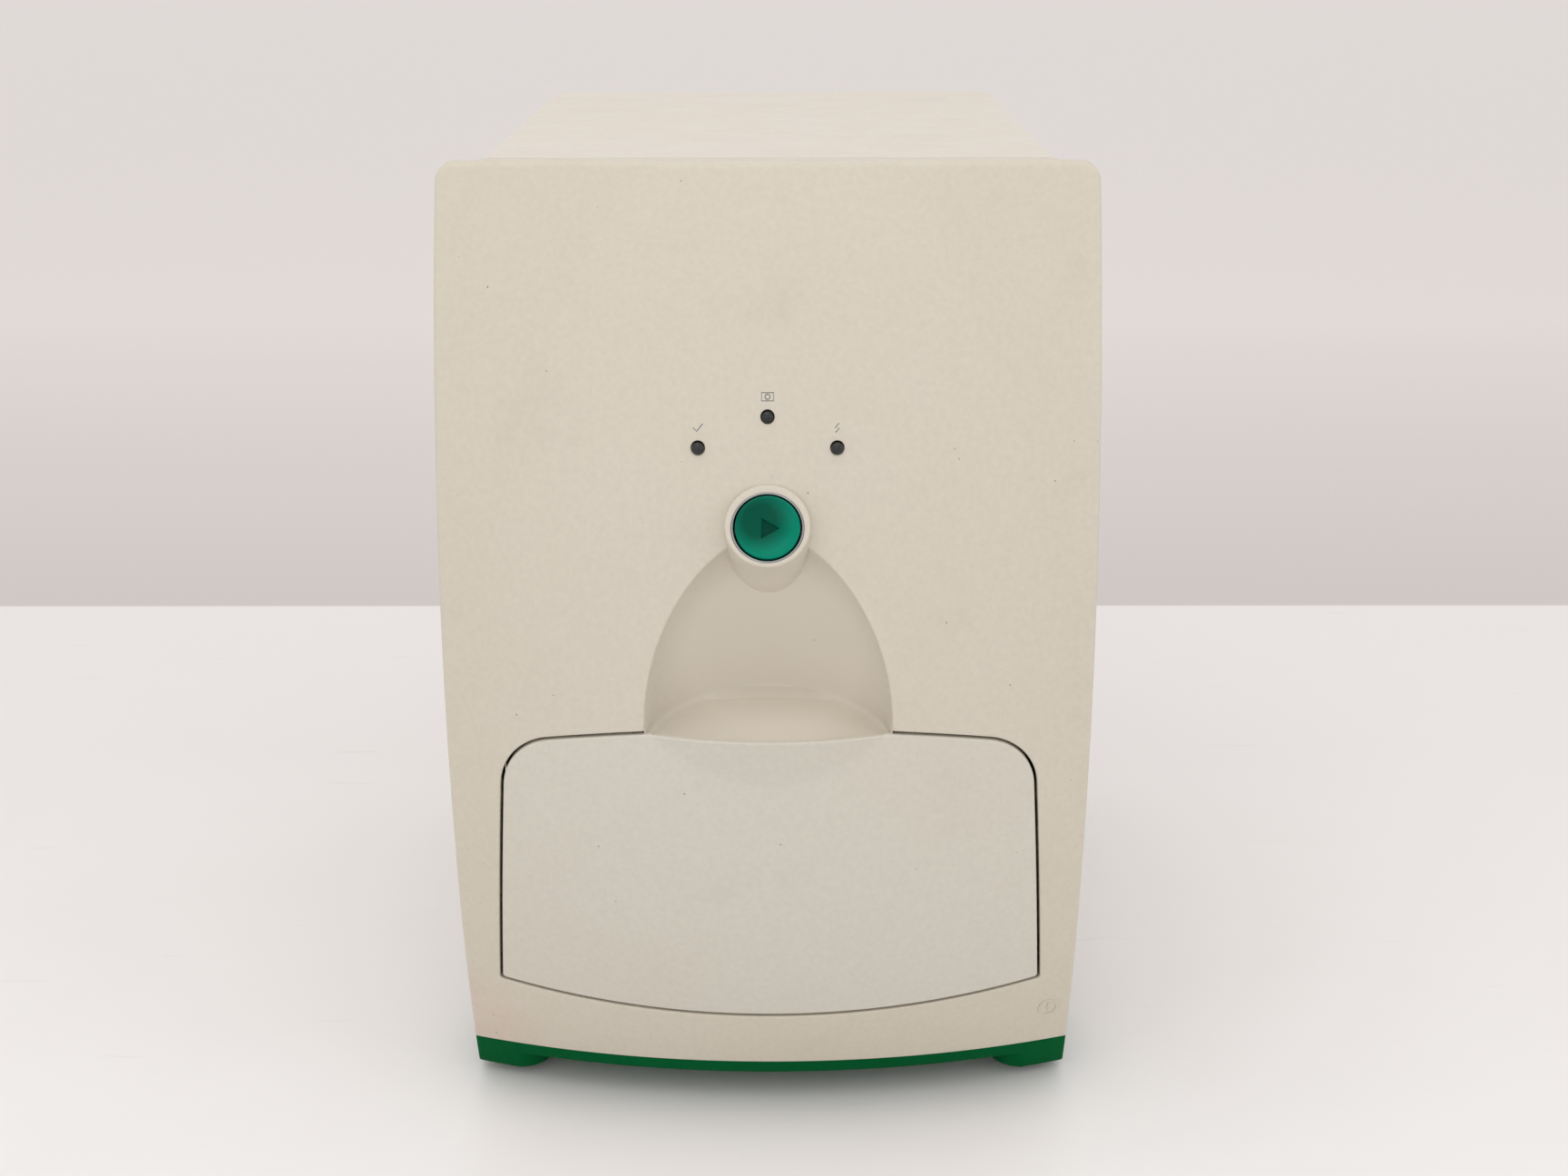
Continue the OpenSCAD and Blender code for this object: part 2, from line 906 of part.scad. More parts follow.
module enclosure_cover() {
    color(cream)
        difference() {
            union() {
                both_sides()
                    block([cover_in_x, cover_y0, base_h], [cover_x, rear_y, cover_top]);
                wide_block(cover_x, cover_top_y0, rear_y, cover_in_top, cover_top);
            }
            both_sides() {
                for (y = cover_screws_low)
                    rod_x([cover_in_x - 1, y, cover_screw_z], screw_hole_r, 10);
                for (z = rear_screw_zs)
                    rod_x([cover_in_x - 1, rear_screw_y, z], screw_hole_r, 10);
            }
        }
}

module cover_screws() {
    color(steel) {
        both_sides() {
            for (y = cover_screws_low)
                side_screw(y, cover_screw_z);
            for (z = rear_screw_zs)
                side_screw(rear_screw_y, z);
        }
        for (s = [-1, 1])
            translate([s * 40, rear_out, floor_z + flange_h / 4])
                rotate([-90, 0, 0])
                    screw(screw_head_r, screw_head_h, screw_r, 2 * sheet_t + 2);
    }
}

module side_screw(y, z) {
    translate([cover_x, y, z])
        rotate([0, 90, 0])
            screw(screw_head_r, screw_head_h, screw_r, cover_t + 3);
}

slot_h = 3;
slot_pitch = 7;

module rear_panel() {
    color(cream)
        difference() {
            union() {
                wide_block(flange_x, rear_in, rear_out, base_h, cover_in_top - fit);
                both_sides()
                    block([flange_x - sheet_t, rear_in - rear_flange_d, floor_z + flange_h + 2],
                        [flange_x, rear_in + 0.5, cover_in_top - fit]);
            }
            both_sides()
                for (z = rear_screw_zs)
                    rod_x([flange_x - 10, rear_screw_y, z], screw_hole_r, 20);
            for (s = [-1, 1])
                rod_y([s * 40, rear_in - 1, floor_z + flange_h / 4], screw_hole_r, 10);
            rod_y([fan_x, rear_in - 1, fan_z], fan_w / 2 - 2, 10);
            for (a = [-1, 1], b = [-1, 1])
                rod_y([fan_x + a * fan_hole, rear_in - 1, fan_z + b * fan_hole], screw_hole_r + 0.4, 10);
            inlet_hole();
            usb_hole();
            for (i = [0:7])
                vent_slot(-50, 255 + i * slot_pitch);
            for (i = [0:4])
                vent_slot(40, 62 + i * slot_pitch);
        }
}

module vent_slot(x, z) {
    half = 28;
    block([x - half, rear_in - 1, z], [x + half, rear_out + 1, z + slot_h]);
    for (s = [-1, 1])
        rod_y([x + s * half, rear_in - 1, z + slot_h / 2], slot_h / 2, sheet_t + 2);
}

// ---------- Start button ----------

dish_r = 30;
dish_edge = 1.75;
mark_depth = 0.7;
cap_top = 1.2;
cap_h = 9;
dish_depth = dish_r - sqrt(pow(dish_r, 2) - pow(button_r - dish_edge, 2));
stem_end = boss_floor + wall / 2;

module start_button() {
    color(teal)
        at_button()
            difference() {
                union() {
                    translate([0, 0, cap_top - cap_h])
                        cylinder(r = button_r, h = cap_h);
                    translate([0, 0, -stem_end])
                        cylinder(r = stem_r, h = stem_end);
                }
                dish();
                start_mark();
            }
}

// The shallow dish in the cap's face
module dish() {
    translate([0, 0, cap_top - dish_depth + dish_r])
        sphere(r = dish_r, $fn = big_fn);
}

// A plain triangle sunk into the dish, as on any start key
module start_mark() {
    mark_r = 4.6;
    translate([0, 0, cap_top - dish_depth - mark_depth])
        linear_extrude(dish_depth + mark_depth)
            polygon([for (a = [0, 120, 240]) mark_r * [cos(a), sin(a)]]);
}

module button_collar() {
    color(steel)
        at_button()
            difference() {
                translate([0, 0, -collar_h])
                    cylinder(r = collar_r + collar_t, h = collar_h + 0.3);
                translate([0, 0, -collar_h - 1])
                    cylinder(r = collar_r, h = collar_h + 3);
            }
}

switch_side = 12;
board_t = 1.6;
plunger_top = stem_end + button_travel + fit;

module start_switch() {
    color(black)
        at_button() {
            translate([-switch_side / 2, -switch_side / 2, -boss_l])
                cube([switch_side, switch_side, boss_l - plunger_top - 3]);
            translate([0, 0, -boss_l + 1])
                cylinder(r = 2, h = boss_l - plunger_top - 1);
        }
}

module start_board() {
    board_r = boss_r - 2;
    color(board)
        at_button()
            translate([-board_r, -board_r, -boss_l - board_t])
                cube([2 * board_r, 2 * board_r, board_t]);
}

// ---------- Status lamps ----------

led_tip = 1.4;
lamp_board_edge = 6;

module status_lamp(i) {
    at_lamps()
        translate([led_places[i].x, led_places[i].y, -led_board_depth]) {
            cylinder(r = led_r, h = led_board_depth + led_tip - led_r);
            cylinder(r = led_r + 0.4, h = 1);
            translate([0, 0, led_board_depth + led_tip - led_r])
                sphere(r = led_r);
        }
}

module ready_lamp() {
    color(black)
        status_lamp(0);
}

module imaging_lamp() {
    color(black)
        status_lamp(1);
}

module fault_lamp() {
    color(black)
        status_lamp(2);
}

module lamp_board() {
    half = led_post_x + 5;
    color(board)
        at_lamps()
            translate([-half, -lamp_board_edge, -led_board_depth - board_t])
                cube([2 * half, led_rise + 2 * lamp_board_edge, board_t]);
}

// ---------- Power switch on the right side ----------

switch_y = cover_y0 - switch_w / 2 - 1.5;
switch_body_w = switch_w - 4;
switch_body_h = switch_h - 3;
switch_rim = 3;
rocker_half_h = switch_h / 2 - 4;
rocker_half_w = switch_w / 2 - 4;
rocker_x = skirt_x + 0.5;
rocker_face = 5.5;
pivot_r = 1.5;

module switch_housing() {
    color(black)
        difference() {
            union() {
                block([skirt_x, switch_y - switch_w / 2, switch_z - switch_h / 2],
                    [skirt_x + switch_rim, switch_y + switch_w / 2, switch_z + switch_h / 2]);
                block([skirt_x - 14, switch_y - switch_body_w / 2, switch_z - switch_body_h / 2],
                    [skirt_x + 1, switch_y + switch_body_w / 2, switch_z + switch_body_h / 2]);
                for (z = [-5, 5])
                    block([skirt_x - 21, switch_y - 0.4, switch_z + z - 2.4],
                        [skirt_x - 13, switch_y + 0.4, switch_z + z + 2.4]);
            }
            block([skirt_x - 12, switch_y - rocker_half_w - fit, switch_z - rocker_half_h - 1.4],
                [skirt_x + 10, switch_y + rocker_half_w + fit, switch_z + rocker_half_h + 1.4]);
            rod_y([rocker_x, switch_y - rocker_half_w - 1.2, switch_z], pivot_r + touch,
                2 * rocker_half_w + 2.4);
        }
}

module power_rocker() {
    color(black)
        translate([rocker_x, switch_y, switch_z])
            rotate([0, -rocker_throw / 2, 0]) {
                rotate([90, 0, 0])
                    linear_extrude(2 * rocker_half_w, center = true)
                        polygon([
                            [-4, -rocker_half_h + 2.5], [rocker_face, -rocker_half_h],
                            [rocker_face - 1.2, 0], [rocker_face, rocker_half_h],
                            [-4, rocker_half_h - 2.5]
                        ]);
                rod_y([0, -rocker_half_w - 1, 0], pivot_r, 2 * rocker_half_w + 2);
            }
}

// ---------- Imaging chamber ----------

hood_t = 1.5;
hood_x = carrier_w / 2 - 1.8;
hood_flange = 13;
hood_top = chamber_z + chamber_h;
filter_r = lens_r + 3;

module light_hood() {
    color(black)
        difference() {
            union() {
                wide_block(hood_x, inner_y, chamber_y1, chamber_z, hood_top);
                wide_block(bracket_x + sheet_t, inner_y, chamber_y1 + hood_flange,
                    chamber_z, chamber_z + hood_t);
            }
            wide_block(hood_x - hood_t, inner_y + hood_t, chamber_y1 - hood_t,
                chamber_z - 1, hood_top - hood_t);
            translate([0, stage_y, hood_top - 10])
                cylinder(r = filter_r - 2, h = 20);
        }
}

module light_seal() {
    color(black)
        difference() {
            wide_block(hood_x, inner_y, chamber_y1, chamber_z - seal_t, chamber_z);
            wide_block(hood_x - 4, inner_y + 4, chamber_y1 - 4, chamber_z - seal_t - 1, chamber_z + 1);
        }
}

holder_lip = 6;

module filter_holder() {
    color(black)
        translate([0, stage_y, hood_top])
            difference() {
                cylinder(r = filter_r + holder_lip, h = holder_h);
                translate([0, 0, -1])
                    cylinder(r = filter_r - 2, h = holder_h + 2);
                translate([0, 0, 3])
                    cylinder(r = filter_r, h = holder_h);
            }
}

module emission_filter() {
    color([0.55, 0.15, 0.05, 0.8])
        translate([0, stage_y, hood_top + 3])
            cylinder(r = filter_r - touch, h = 3);
}

lens_z = hood_top + holder_h;

module camera_lens() {
    color(black)
        translate([0, stage_y, lens_z])
            difference() {
                union() {
                    cylinder(r = lens_r, h = lens_l);
                    cylinder(r = filter_r + 3, h = 5);
                    translate([0, 0, lens_l * 0.4])
                        cylinder(r = lens_r + 1.5, h = 9);
                }
                translate([0, 0, -1])
                    cylinder(r1 = lens_r - 3, r2 = lens_r - 9, h = 9);
            }
}

camera_z = lens_z + lens_l;
bracket_top = camera_z + camera_h;
yoke_w = 40;
yoke_foot = 10;

module camera_body() {
    color(steel)
        translate([0, stage_y, camera_z])
            difference() {
                translate([-camera_w / 2, -camera_w / 2, 0])
                    cube([camera_w, camera_w, camera_h]);
                for (i = [1:5])
                    for (s = [-1, 1])
                        translate([-camera_w, s * (camera_w / 2 - 1) - 1.5, i * camera_h / 6 - 1])
                            cube([2 * camera_w, 3, 2]);
            }
}

module camera_bracket() {
    outer = max(camera_w / 2 + 3, filter_r + holder_lip + 1) + sheet_t;
    y0 = stage_y - yoke_w / 2;
    y1 = stage_y + yoke_w / 2;
    color(steel) {
        both_sides() {
            block([outer - sheet_t, y0, hood_top], [outer, y1, bracket_top + sheet_t]);
            block([outer - touch, y0, hood_top], [outer + yoke_foot, y1, hood_top + sheet_t]);
        }
        wide_block(outer, y0, y1, bracket_top, bracket_top + sheet_t);
    }
}

strip_side = 12;
strip_w = 12;
strip_h = 8;

module light_strip() {
    x = hood_x - strip_side;
    z = hood_top - hood_t;
    block([x - strip_w, stage_y - strip_l / 2, z - strip_h], [x, stage_y + strip_l / 2, z]);
}

module light_strip_left() {
    color(cream)
        mirror([1, 0, 0])
            light_strip();
}

module light_strip_right() {
    color(cream)
        light_strip();
}

// ---------- Lamp box under the drawer ----------

box_t = 1.2;
box_x = lamp_box_w / 2;
box_y0 = inner_y + 6;
box_y1 = chamber_y1 - 5;
box_top = floor_z + lamp_box_h;
window_z = box_top - window_t;
tube_z = floor_z + tube_rise;
socket_t = 7;

module lamp_box() {
    color(steel)
        difference() {
            wide_block(box_x, box_y0, box_y1, floor_z, box_top);
            wide_block(box_x - box_t - 4, box_y0 + box_t + 4, box_y1 - box_t - 4, floor_z + box_t, box_top + 1);
            wide_block(box_x - box_t, box_y0 + box_t, box_y1 - box_t, floor_z + box_t, window_z - box_t);
            wide_block(box_x - box_t, box_y0 + box_t, box_y1 - box_t, window_z, box_top + 1);
        }
}

module lamp_window() {
    color(glass)
        wide_block(box_x - box_t - fit, box_y0 + box_t + fit, box_y1 - box_t - fit, window_z, box_top);
}

tube_span = box_y1 - box_y0 - 2 * tube_margin;
tube_ys = [for (i = [0:tube_count - 1]) box_y0 + tube_margin + i * tube_span / (tube_count - 1)];
tube_half = box_x - box_t - socket_t;

module lamp_tubes() {
    color([0.9, 0.9, 0.95])
        for (y = tube_ys)
            rod_x([-tube_half, y, tube_z], tube_r, 2 * tube_half);
}

module tube_sockets() {
    half_h = tube_r + 4;
    color("white")
        both_sides()
            for (y = tube_ys)
                block([tube_half, y - half_h, floor_z + box_t], [tube_half + socket_t, y + half_h, tube_z + half_h]);
}

module lamp_reflector() {
    plate_z = tube_z - tube_r - 6;
    half = tube_half - 2;
    y0 = box_y0 + box_t + 3;
    y1 = box_y1 - box_t - 3;
    color([0.8, 0.82, 0.84]) {
        wide_block(half, y0, y1, plate_z - 1, plate_z);
        wide_block(half, y0, y0 + 1, floor_z + box_t, plate_z);
        wide_block(half, y1 - 1, y1, floor_z + box_t, plate_z);
    }
}

// ---------- Brackets and slide rails ----------

rail_x = carrier_w / 2;
bracket_x = rail_x + rail_w;
rail_z = carrier_z + carrier_h / 2;
rail_y0 = inner_y;
rail_y1 = rail_y0 + rail_l;

bracket_y0 = inner_y + sheet_t + fit;
bracket_y1 = rail_y1 + 4;
bracket_web = 18;
bracket_pitch = (rail_l - bracket_web + 2) / 4;

// A side bracket with four windows and a foot on the chassis floor
module side_bracket() {
    difference() {
        union() {
            block([bracket_x, bracket_y0, floor_z], [bracket_x + sheet_t, bracket_y1, chamber_z]);
            block([bracket_x, bracket_y0, floor_z],
                [flange_x - sheet_t - fit, bracket_y1, floor_z + sheet_t]);
        }
        for (i = [0:3])
            translate([0, rail_y0 + i * bracket_pitch, 0])
                block([bracket_x - 1, bracket_web, floor_z + 14],
                    [bracket_x + 4, bracket_pitch, rail_z - rail_h / 2 - 12]);
    }
}

module side_bracket_left() {
    color(steel)
        mirror([1, 0, 0])
            side_bracket();
}

module side_bracket_right() {
    color(steel)
        side_bracket();
}

// A C-shaped rail section: web at the outside, flanges towards the inside
module channel(x_in, x_web, half_h, web_outside) {
    web = web_outside ? [x_web - rail_t, x_web] : [x_in, x_in + rail_t];
    block([web[0], rail_y0, rail_z - half_h], [web[1], rail_y1, rail_z + half_h]);
    for (s = [-1, 1])
        block([x_in, rail_y0, rail_z + s * (half_h - rail_t / 2) - rail_t / 2],
            [x_web, rail_y1, rail_z + s * (half_h - rail_t / 2) + rail_t / 2]);
}

middle_half_h = rail_h / 2 - rail_t - rail_gap;
inner_half_h = middle_half_h - rail_t - rail_gap;
middle_web_x = bracket_x - rail_t - rail_gap;
inner_tip_x = middle_web_x - rail_t - rail_gap;

module rail_outer() {
    channel(rail_x + 3, bracket_x, rail_h / 2, true);
}

module rail_middle() {
    channel(rail_x + 3, middle_web_x, middle_half_h, true);
}

module rail_inner() {
    channel(rail_x, inner_tip_x, inner_half_h, false);
}

module rail_outer_left() {
    color(steel)
        mirror([1, 0, 0])
            rail_outer();
}

module rail_outer_right() {
    color(steel)
        rail_outer();
}

module rail_middle_left() {
    color(steel)
        mirror([1, 0, 0])
            rail_middle();
}

module rail_middle_right() {
    color(steel)
        rail_middle();
}

module rail_inner_left() {
    color(steel)
        mirror([1, 0, 0])
            rail_inner();
}

module rail_inner_right() {
    color(steel)
        rail_inner();
}

// ---------- Drawer carrier and tray ----------

carrier_y0 = belly_y + 21;
carrier_y1 = chamber_y1 - 0.5;
carrier_x = carrier_w / 2;

module drawer_carrier() {
    color(steel)
        difference() {
            union() {
                wide_block(carrier_x, carrier_y0, carrier_y0 + sheet_t, carrier_z - 14, carrier_z + carrier_h + 4);
                wide_block(carrier_x, carrier_y0, carrier_y1, carrier_z, carrier_z + sheet_t);
                both_sides()
                    block([carrier_x - sheet_t, carrier_y0, carrier_z],
                        [carrier_x, carrier_y1, carrier_z + carrier_h]);
                wide_block(carrier_x, carrier_y1 - sheet_t, carrier_y1, carrier_z, carrier_z + carrier_h);
            }
            wide_block(tray_w / 2 - tray_rim + 2, stage_y - tray_l / 2 + tray_rim - 2,
                stage_y + tray_l / 2 - tray_rim + 2, carrier_z - 1, carrier_z + sheet_t + 1);
            for (p = panel_boss_places)
                rod_y([p.x, carrier_y0 - 1, p.y], screw_hole_r, 5);
        }
}

module drawer_screws() {
    color(steel)
        for (p = panel_boss_places)
            translate([p.x, carrier_y0 + sheet_t, p.y])
                rotate([-90, 0, 0])
                    screw(screw_head_r, screw_head_h, screw_r, sheet_t + 7);
}

strike_t = 1;
strike_x = 11;
catch_d = 10;
sensor_x = 44;
sensor_w = 20;
catch_y = carrier_y1 + strike_t + 0.5;

module strike_plate() {
    color(steel)
        wide_block(strike_x, carrier_y1, carrier_y1 + strike_t, carrier_z + 4, carrier_z + carrier_h - 4);
}

module drawer_catch() {
    color(black)
        wide_block(strike_x + 2, catch_y, catch_y + catch_d, carrier_z + 6, chamber_z);
}

module drawer_sensor() {
    color(black) {
        translate([sensor_x, catch_y, 0])
            wide_block(sensor_w / 2, 0, catch_d - 1, carrier_z + 8, chamber_z);
        rod_y([sensor_x, carrier_y1 + fit, carrier_z + carrier_h / 2], 1.5, catch_y - carrier_y1 + 1);
    }
}

tray_z = carrier_z + sheet_t + fit;
tray_glass_z = tray_z + 3;

module sample_tray() {
    x = tray_w / 2;
    y0 = stage_y - tray_l / 2;
    y1 = stage_y + tray_l / 2;
    color(black)
        difference() {
            wide_block(x, y0, y1, tray_z, tray_z + tray_h);
            wide_block(x - wall, y0 + wall, y1 - wall, tray_glass_z + glass_t, tray_z + tray_h + 1);
            wide_block(x - tray_rim, y0 + tray_rim, y1 - tray_rim, tray_z - 1, tray_z + tray_h);
            wide_block(x - tray_rim + 5, y0 + tray_rim - 5, y1 - tray_rim + 5, tray_glass_z, tray_z + tray_h);
            for (s = [-1, 1])
                rod_y([0, stage_y + s * tray_l / 2 - 5, tray_z + tray_h + 4], 14, 10);
        }
}

module tray_window() {
    x = tray_w / 2 - tray_rim + 5 - fit;
    half = tray_l / 2 - tray_rim + 5 - fit;
    color(glass)
        wide_block(x, stage_y - half, stage_y + half, tray_glass_z, tray_glass_z + glass_t);
}

// ---------- Electronics ----------

elec_gap = 4;
elec_y0 = chamber_y1 + hood_flange + elec_gap;
elec_y1 = rear_in - elec_gap - sheet_t;
ballast_w = 58;
ballast_h = 23;
supply_gap = 12;
supply_x1 = bracket_x - 2 * elec_gap;
supply_x0 = -bracket_x + elec_gap / 2 + ballast_w + supply_gap;
supply_h = 44;
supply_slots = 9;
slot_w = 6;

module ballast() {
    x = -bracket_x + elec_gap / 2;
    color(steel)
        block([x, elec_y0, floor_z], [x + ballast_w, elec_y1, floor_z + ballast_h]);
}

module power_supply() {
    pitch = (supply_x1 - supply_x0) / (supply_slots + 1);
    color(steel)
        difference() {
            block([supply_x0, elec_y0, floor_z], [supply_x1, elec_y1, floor_z + supply_h]);
            for (i = [1:supply_slots])
                translate([supply_x0 + i * pitch, 0, floor_z + supply_h])
                    block([-slot_w / 2, elec_y0 + 2 * slot_w, -slot_w], [slot_w / 2, elec_y1 - 2 * slot_w, 1]);
        }
}

standoff_l = 8;
board_x = 76;
board_z0 = chamber_z + 22;
board_z1 = hood_top - 18;
board_mid = (board_z0 + board_z1) / 2;
chip_w = 32;
chip_h = 4;
port_w = 22;
port_h = 5;
port_pitch = (board_z1 - board_z0) / 5;
capacitor_r = 3.4;
capacitor_h = 11;
plug_w = 38;
plug_h = 12;

module board_standoffs() {
    color([0.8, 0.65, 0.3])
        for (x = [-1, 1], z = [board_z0 + 6, board_z1 - 6])
            rod_y([x * (board_x - 6), chamber_y1, z], 3, standoff_l);
}

module controller_board() {
    port_x = board_x - 14;
    color(board)
        translate([0, chamber_y1 + standoff_l, 0]) {
            wide_block(board_x, 0, board_t, board_z0, board_z1);
            block([4 - chip_w, 0, board_mid - chip_w / 2], [4, chip_h, board_mid + chip_w / 2]);
            for (i = [0.45:1:3.45])
                block([-port_x, 0, board_z0 + i * port_pitch],
                    [-port_x + port_w, port_h, board_z0 + (i + 0.6) * port_pitch]);
            for (i = [0:4])
                rod_y([port_x - 4 - i * 2.7 * capacitor_r, 0, board_z1 - 2 * board_t - 2 * capacitor_r - 8],
                    capacitor_r, capacitor_h);
            block([port_x + 4 - plug_w, 0, board_z0 + plug_h], [port_x + 4, plug_h, board_z0 + 2 * plug_h]);
        }
}

// ---------- Fan ----------

fan_y0 = rear_in - fan_d;
fan_bore = fan_w / 2 - 1.6;
fan_hub = fan_w * 0.17;
fan_hole = fan_w / 2 - 4.2;
shaft_r = 2;

module fan_frame() {
    color(black)
        difference() {
            union() {
                difference() {
                    block([fan_x - fan_w / 2, fan_y0, fan_z - fan_w / 2],
                        [fan_x + fan_w / 2, rear_in, fan_z + fan_w / 2]);
                    rod_y([fan_x, fan_y0 - 1, fan_z], fan_bore, fan_d + 2);
                }
                rod_y([fan_x, rear_in - 5, fan_z], fan_hub, 5);
                for (a = [20:90:290])
                    translate([fan_x, rear_in - 4, fan_z])
                        rotate([0, a, 0])
                            translate([fan_hub - 1, 0, -2])
                                cube([fan_bore - fan_hub + 1.3, 3, 4]);
            }
            for (a = [-1, 1], b = [-1, 1])
                rod_y([fan_x + a * fan_hole, fan_y0 - 1, fan_z + b * fan_hole], 2.1, fan_d + 2);
            rod_y([fan_x, rear_in - 6, fan_z], shaft_r + touch, 4.5);
        }
}

module fan_rotor() {
    rotor_l = fan_d - 7.5;
    blade_r = fan_bore - 1;
    color(black)
        translate([fan_x, fan_y0 + 1.5, fan_z]) {
            rotate([-90, 0, 0]) {
                cylinder(r = fan_hub, h = rotor_l);
                cylinder(r = shaft_r, h = rotor_l + 3.5);
            }
            intersection() {
                rod_y([0, 0, 0], blade_r, rotor_l);
                for (i = [0:blade_count - 1])
                    rotate([0, i * 360 / blade_count, 0])
                        translate([0, rotor_l / 2, 0])
                            rotate([38, 0, 0])
                                translate([fan_hub - 1, -0.8, -rotor_l / 2])
                                    cube([blade_r - fan_hub + 2, 1.6, rotor_l]);
            }
        }
}

guard_wire = 0.9;

module fan_guard() {
    ring_step = (fan_bore - 6) / 3;
    screw_reach = fan_hole * sqrt(2);
    spoke_y = guard_wire + 0.4;
    color(steel)
        translate([fan_x, rear_out, fan_z]) {
            for (i = [0:3])
                translate([0, spoke_y + 1.5 * guard_wire, 0])
                    rotate([90, 0, 0])
                        rotate_extrude()
                            translate([6 + i * ring_step, 0])
                                circle(r = guard_wire);
            for (a = [45:90:315])
                rotate([0, a, 0]) {
                    rod_x([4, spoke_y, 0], guard_wire, screw_reach - 6);
                    difference() {
                        rod_y([screw_reach, 0, 0], 4.5, 1.6);
                        rod_y([screw_reach, -1, 0], 2.2, 4);
                    }
                }
        }
}

// ---------- Rear sockets ----------

inlet_w = 30;
inlet_h = 22;
inlet_d = 22;
cavity_w = 25;
cavity_h = 17;
fuse_h = 12;

module inlet_hole() {
    block([socket_x - inlet_w / 2 - fit, rear_in - 1, inlet_z - inlet_h / 2 - fuse_h - fit],
        [socket_x + inlet_w / 2 + fit, rear_out + 1, inlet_z + inlet_h / 2 + fit]);
}

module power_inlet() {
    color(black) {
        difference() {
            union() {
                block([socket_x - inlet_w / 2, rear_in - inlet_d, inlet_z - inlet_h / 2 - fuse_h],
                    [socket_x + inlet_w / 2, rear_out + 1, inlet_z + inlet_h / 2]);
                block([socket_x - inlet_w / 2 - 3, rear_out, inlet_z - inlet_h / 2 - fuse_h - 3],
                    [socket_x + inlet_w / 2 + 3, rear_out + 2.5, inlet_z + inlet_h / 2 + 3]);
            }
            block([socket_x - cavity_w / 2, rear_in - 16, inlet_z - cavity_h / 2],
                [socket_x + cavity_w / 2, rear_out + 5, inlet_z + cavity_h / 2]);
            block([socket_x - fuse_w / 2 - run, rear_in - 18, fuse_z - fuse_t / 2 - run],
                [socket_x + fuse_w / 2 + run, rear_out + 5, fuse_z + fuse_t / 2 + run]);
        }
        for (p = [[-7, 0], [0, 3.5], [7, 0]])
            block([socket_x + p.x - 1, rear_in - 17, inlet_z + p.y - 1],
                [socket_x + p.x + 1, rear_out - 1, inlet_z + p.y + 3]);
    }
}

fuse_w = 24;
fuse_t = 8;
fuse_z = inlet_z - inlet_h / 2 - fuse_h / 2 + 0.5;

module fuse_drawer() {
    color(black)
        difference() {
            block([socket_x - fuse_w / 2, rear_in - 16, fuse_z - fuse_t / 2],
                [socket_x + fuse_w / 2, rear_out + 3.5, fuse_z + fuse_t / 2]);
            block([socket_x - fuse_w / 2 + 2, rear_in - 14, fuse_z - fuse_t / 2 + 1.5],
                [socket_x + fuse_w / 2 - 2, rear_in - 2, fuse_z + fuse_t / 2 + 1]);
        }
}

usb_w = 12;
usb_h = 11;

module usb_hole() {
    block([socket_x - usb_w / 2 - fit, rear_in - 1, usb_z - usb_h / 2 - fit],
        [socket_x + usb_w / 2 + fit, rear_out + 1, usb_z + usb_h / 2 + fit]);
}

module usb_socket() {
    color(steel)
        difference() {
            union() {
                block([socket_x - usb_w / 2, rear_in - 14, usb_z - usb_h / 2],
                    [socket_x + usb_w / 2, rear_out + 0.8, usb_z + usb_h / 2]);
                block([socket_x - usb_w / 2 - 2, rear_in - 1.5, usb_z - usb_h / 2 - 2],
                    [socket_x + usb_w / 2 + 2, rear_in, usb_z + usb_h / 2 + 2]);
            }
            block([socket_x - usb_w / 2 + 1.5, rear_in - 12, usb_z - usb_h / 2 + 1.5],
                [socket_x + usb_w / 2 - 1.5, rear_out + 2, usb_z + usb_h / 2 - 1.5]);
        }
}

front_bezel();
drawer_front();
base_plinth();
rubber_feet();
foot_screws();
chassis_pan();
front_frame();
enclosure_cover();
rear_panel();
cover_screws();
bezel_screws();
start_button();
button_collar();
start_switch();
start_board();
ready_lamp();
imaging_lamp();
fault_lamp();
lamp_board();
switch_housing();
power_rocker();
light_hood();
light_seal();
filter_holder();
emission_filter();
camera_lens();
camera_body();
camera_bracket();
light_strip_left();
light_strip_right();
lamp_box();
lamp_window();
lamp_tubes();
tube_sockets();
lamp_reflector();
side_bracket_left();
side_bracket_right();
rail_outer_left();
rail_outer_right();
rail_middle_left();
rail_middle_right();
rail_inner_left();
rail_inner_right();
drawer_carrier();
drawer_screws();
strike_plate();
drawer_catch();
drawer_sensor();
sample_tray();
tray_window();
ballast();
power_supply();
controller_board();
board_standoffs();
fan_frame();
fan_rotor();
fan_guard();
power_inlet();
fuse_drawer();
usb_socket();
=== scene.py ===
"""Dresses the gel documentation system for rendering. Metres, in the same frame as the CAD solids."""

import math

import bmesh
import bpy
import numpy as np
from mathutils import Matrix, Vector, geometry


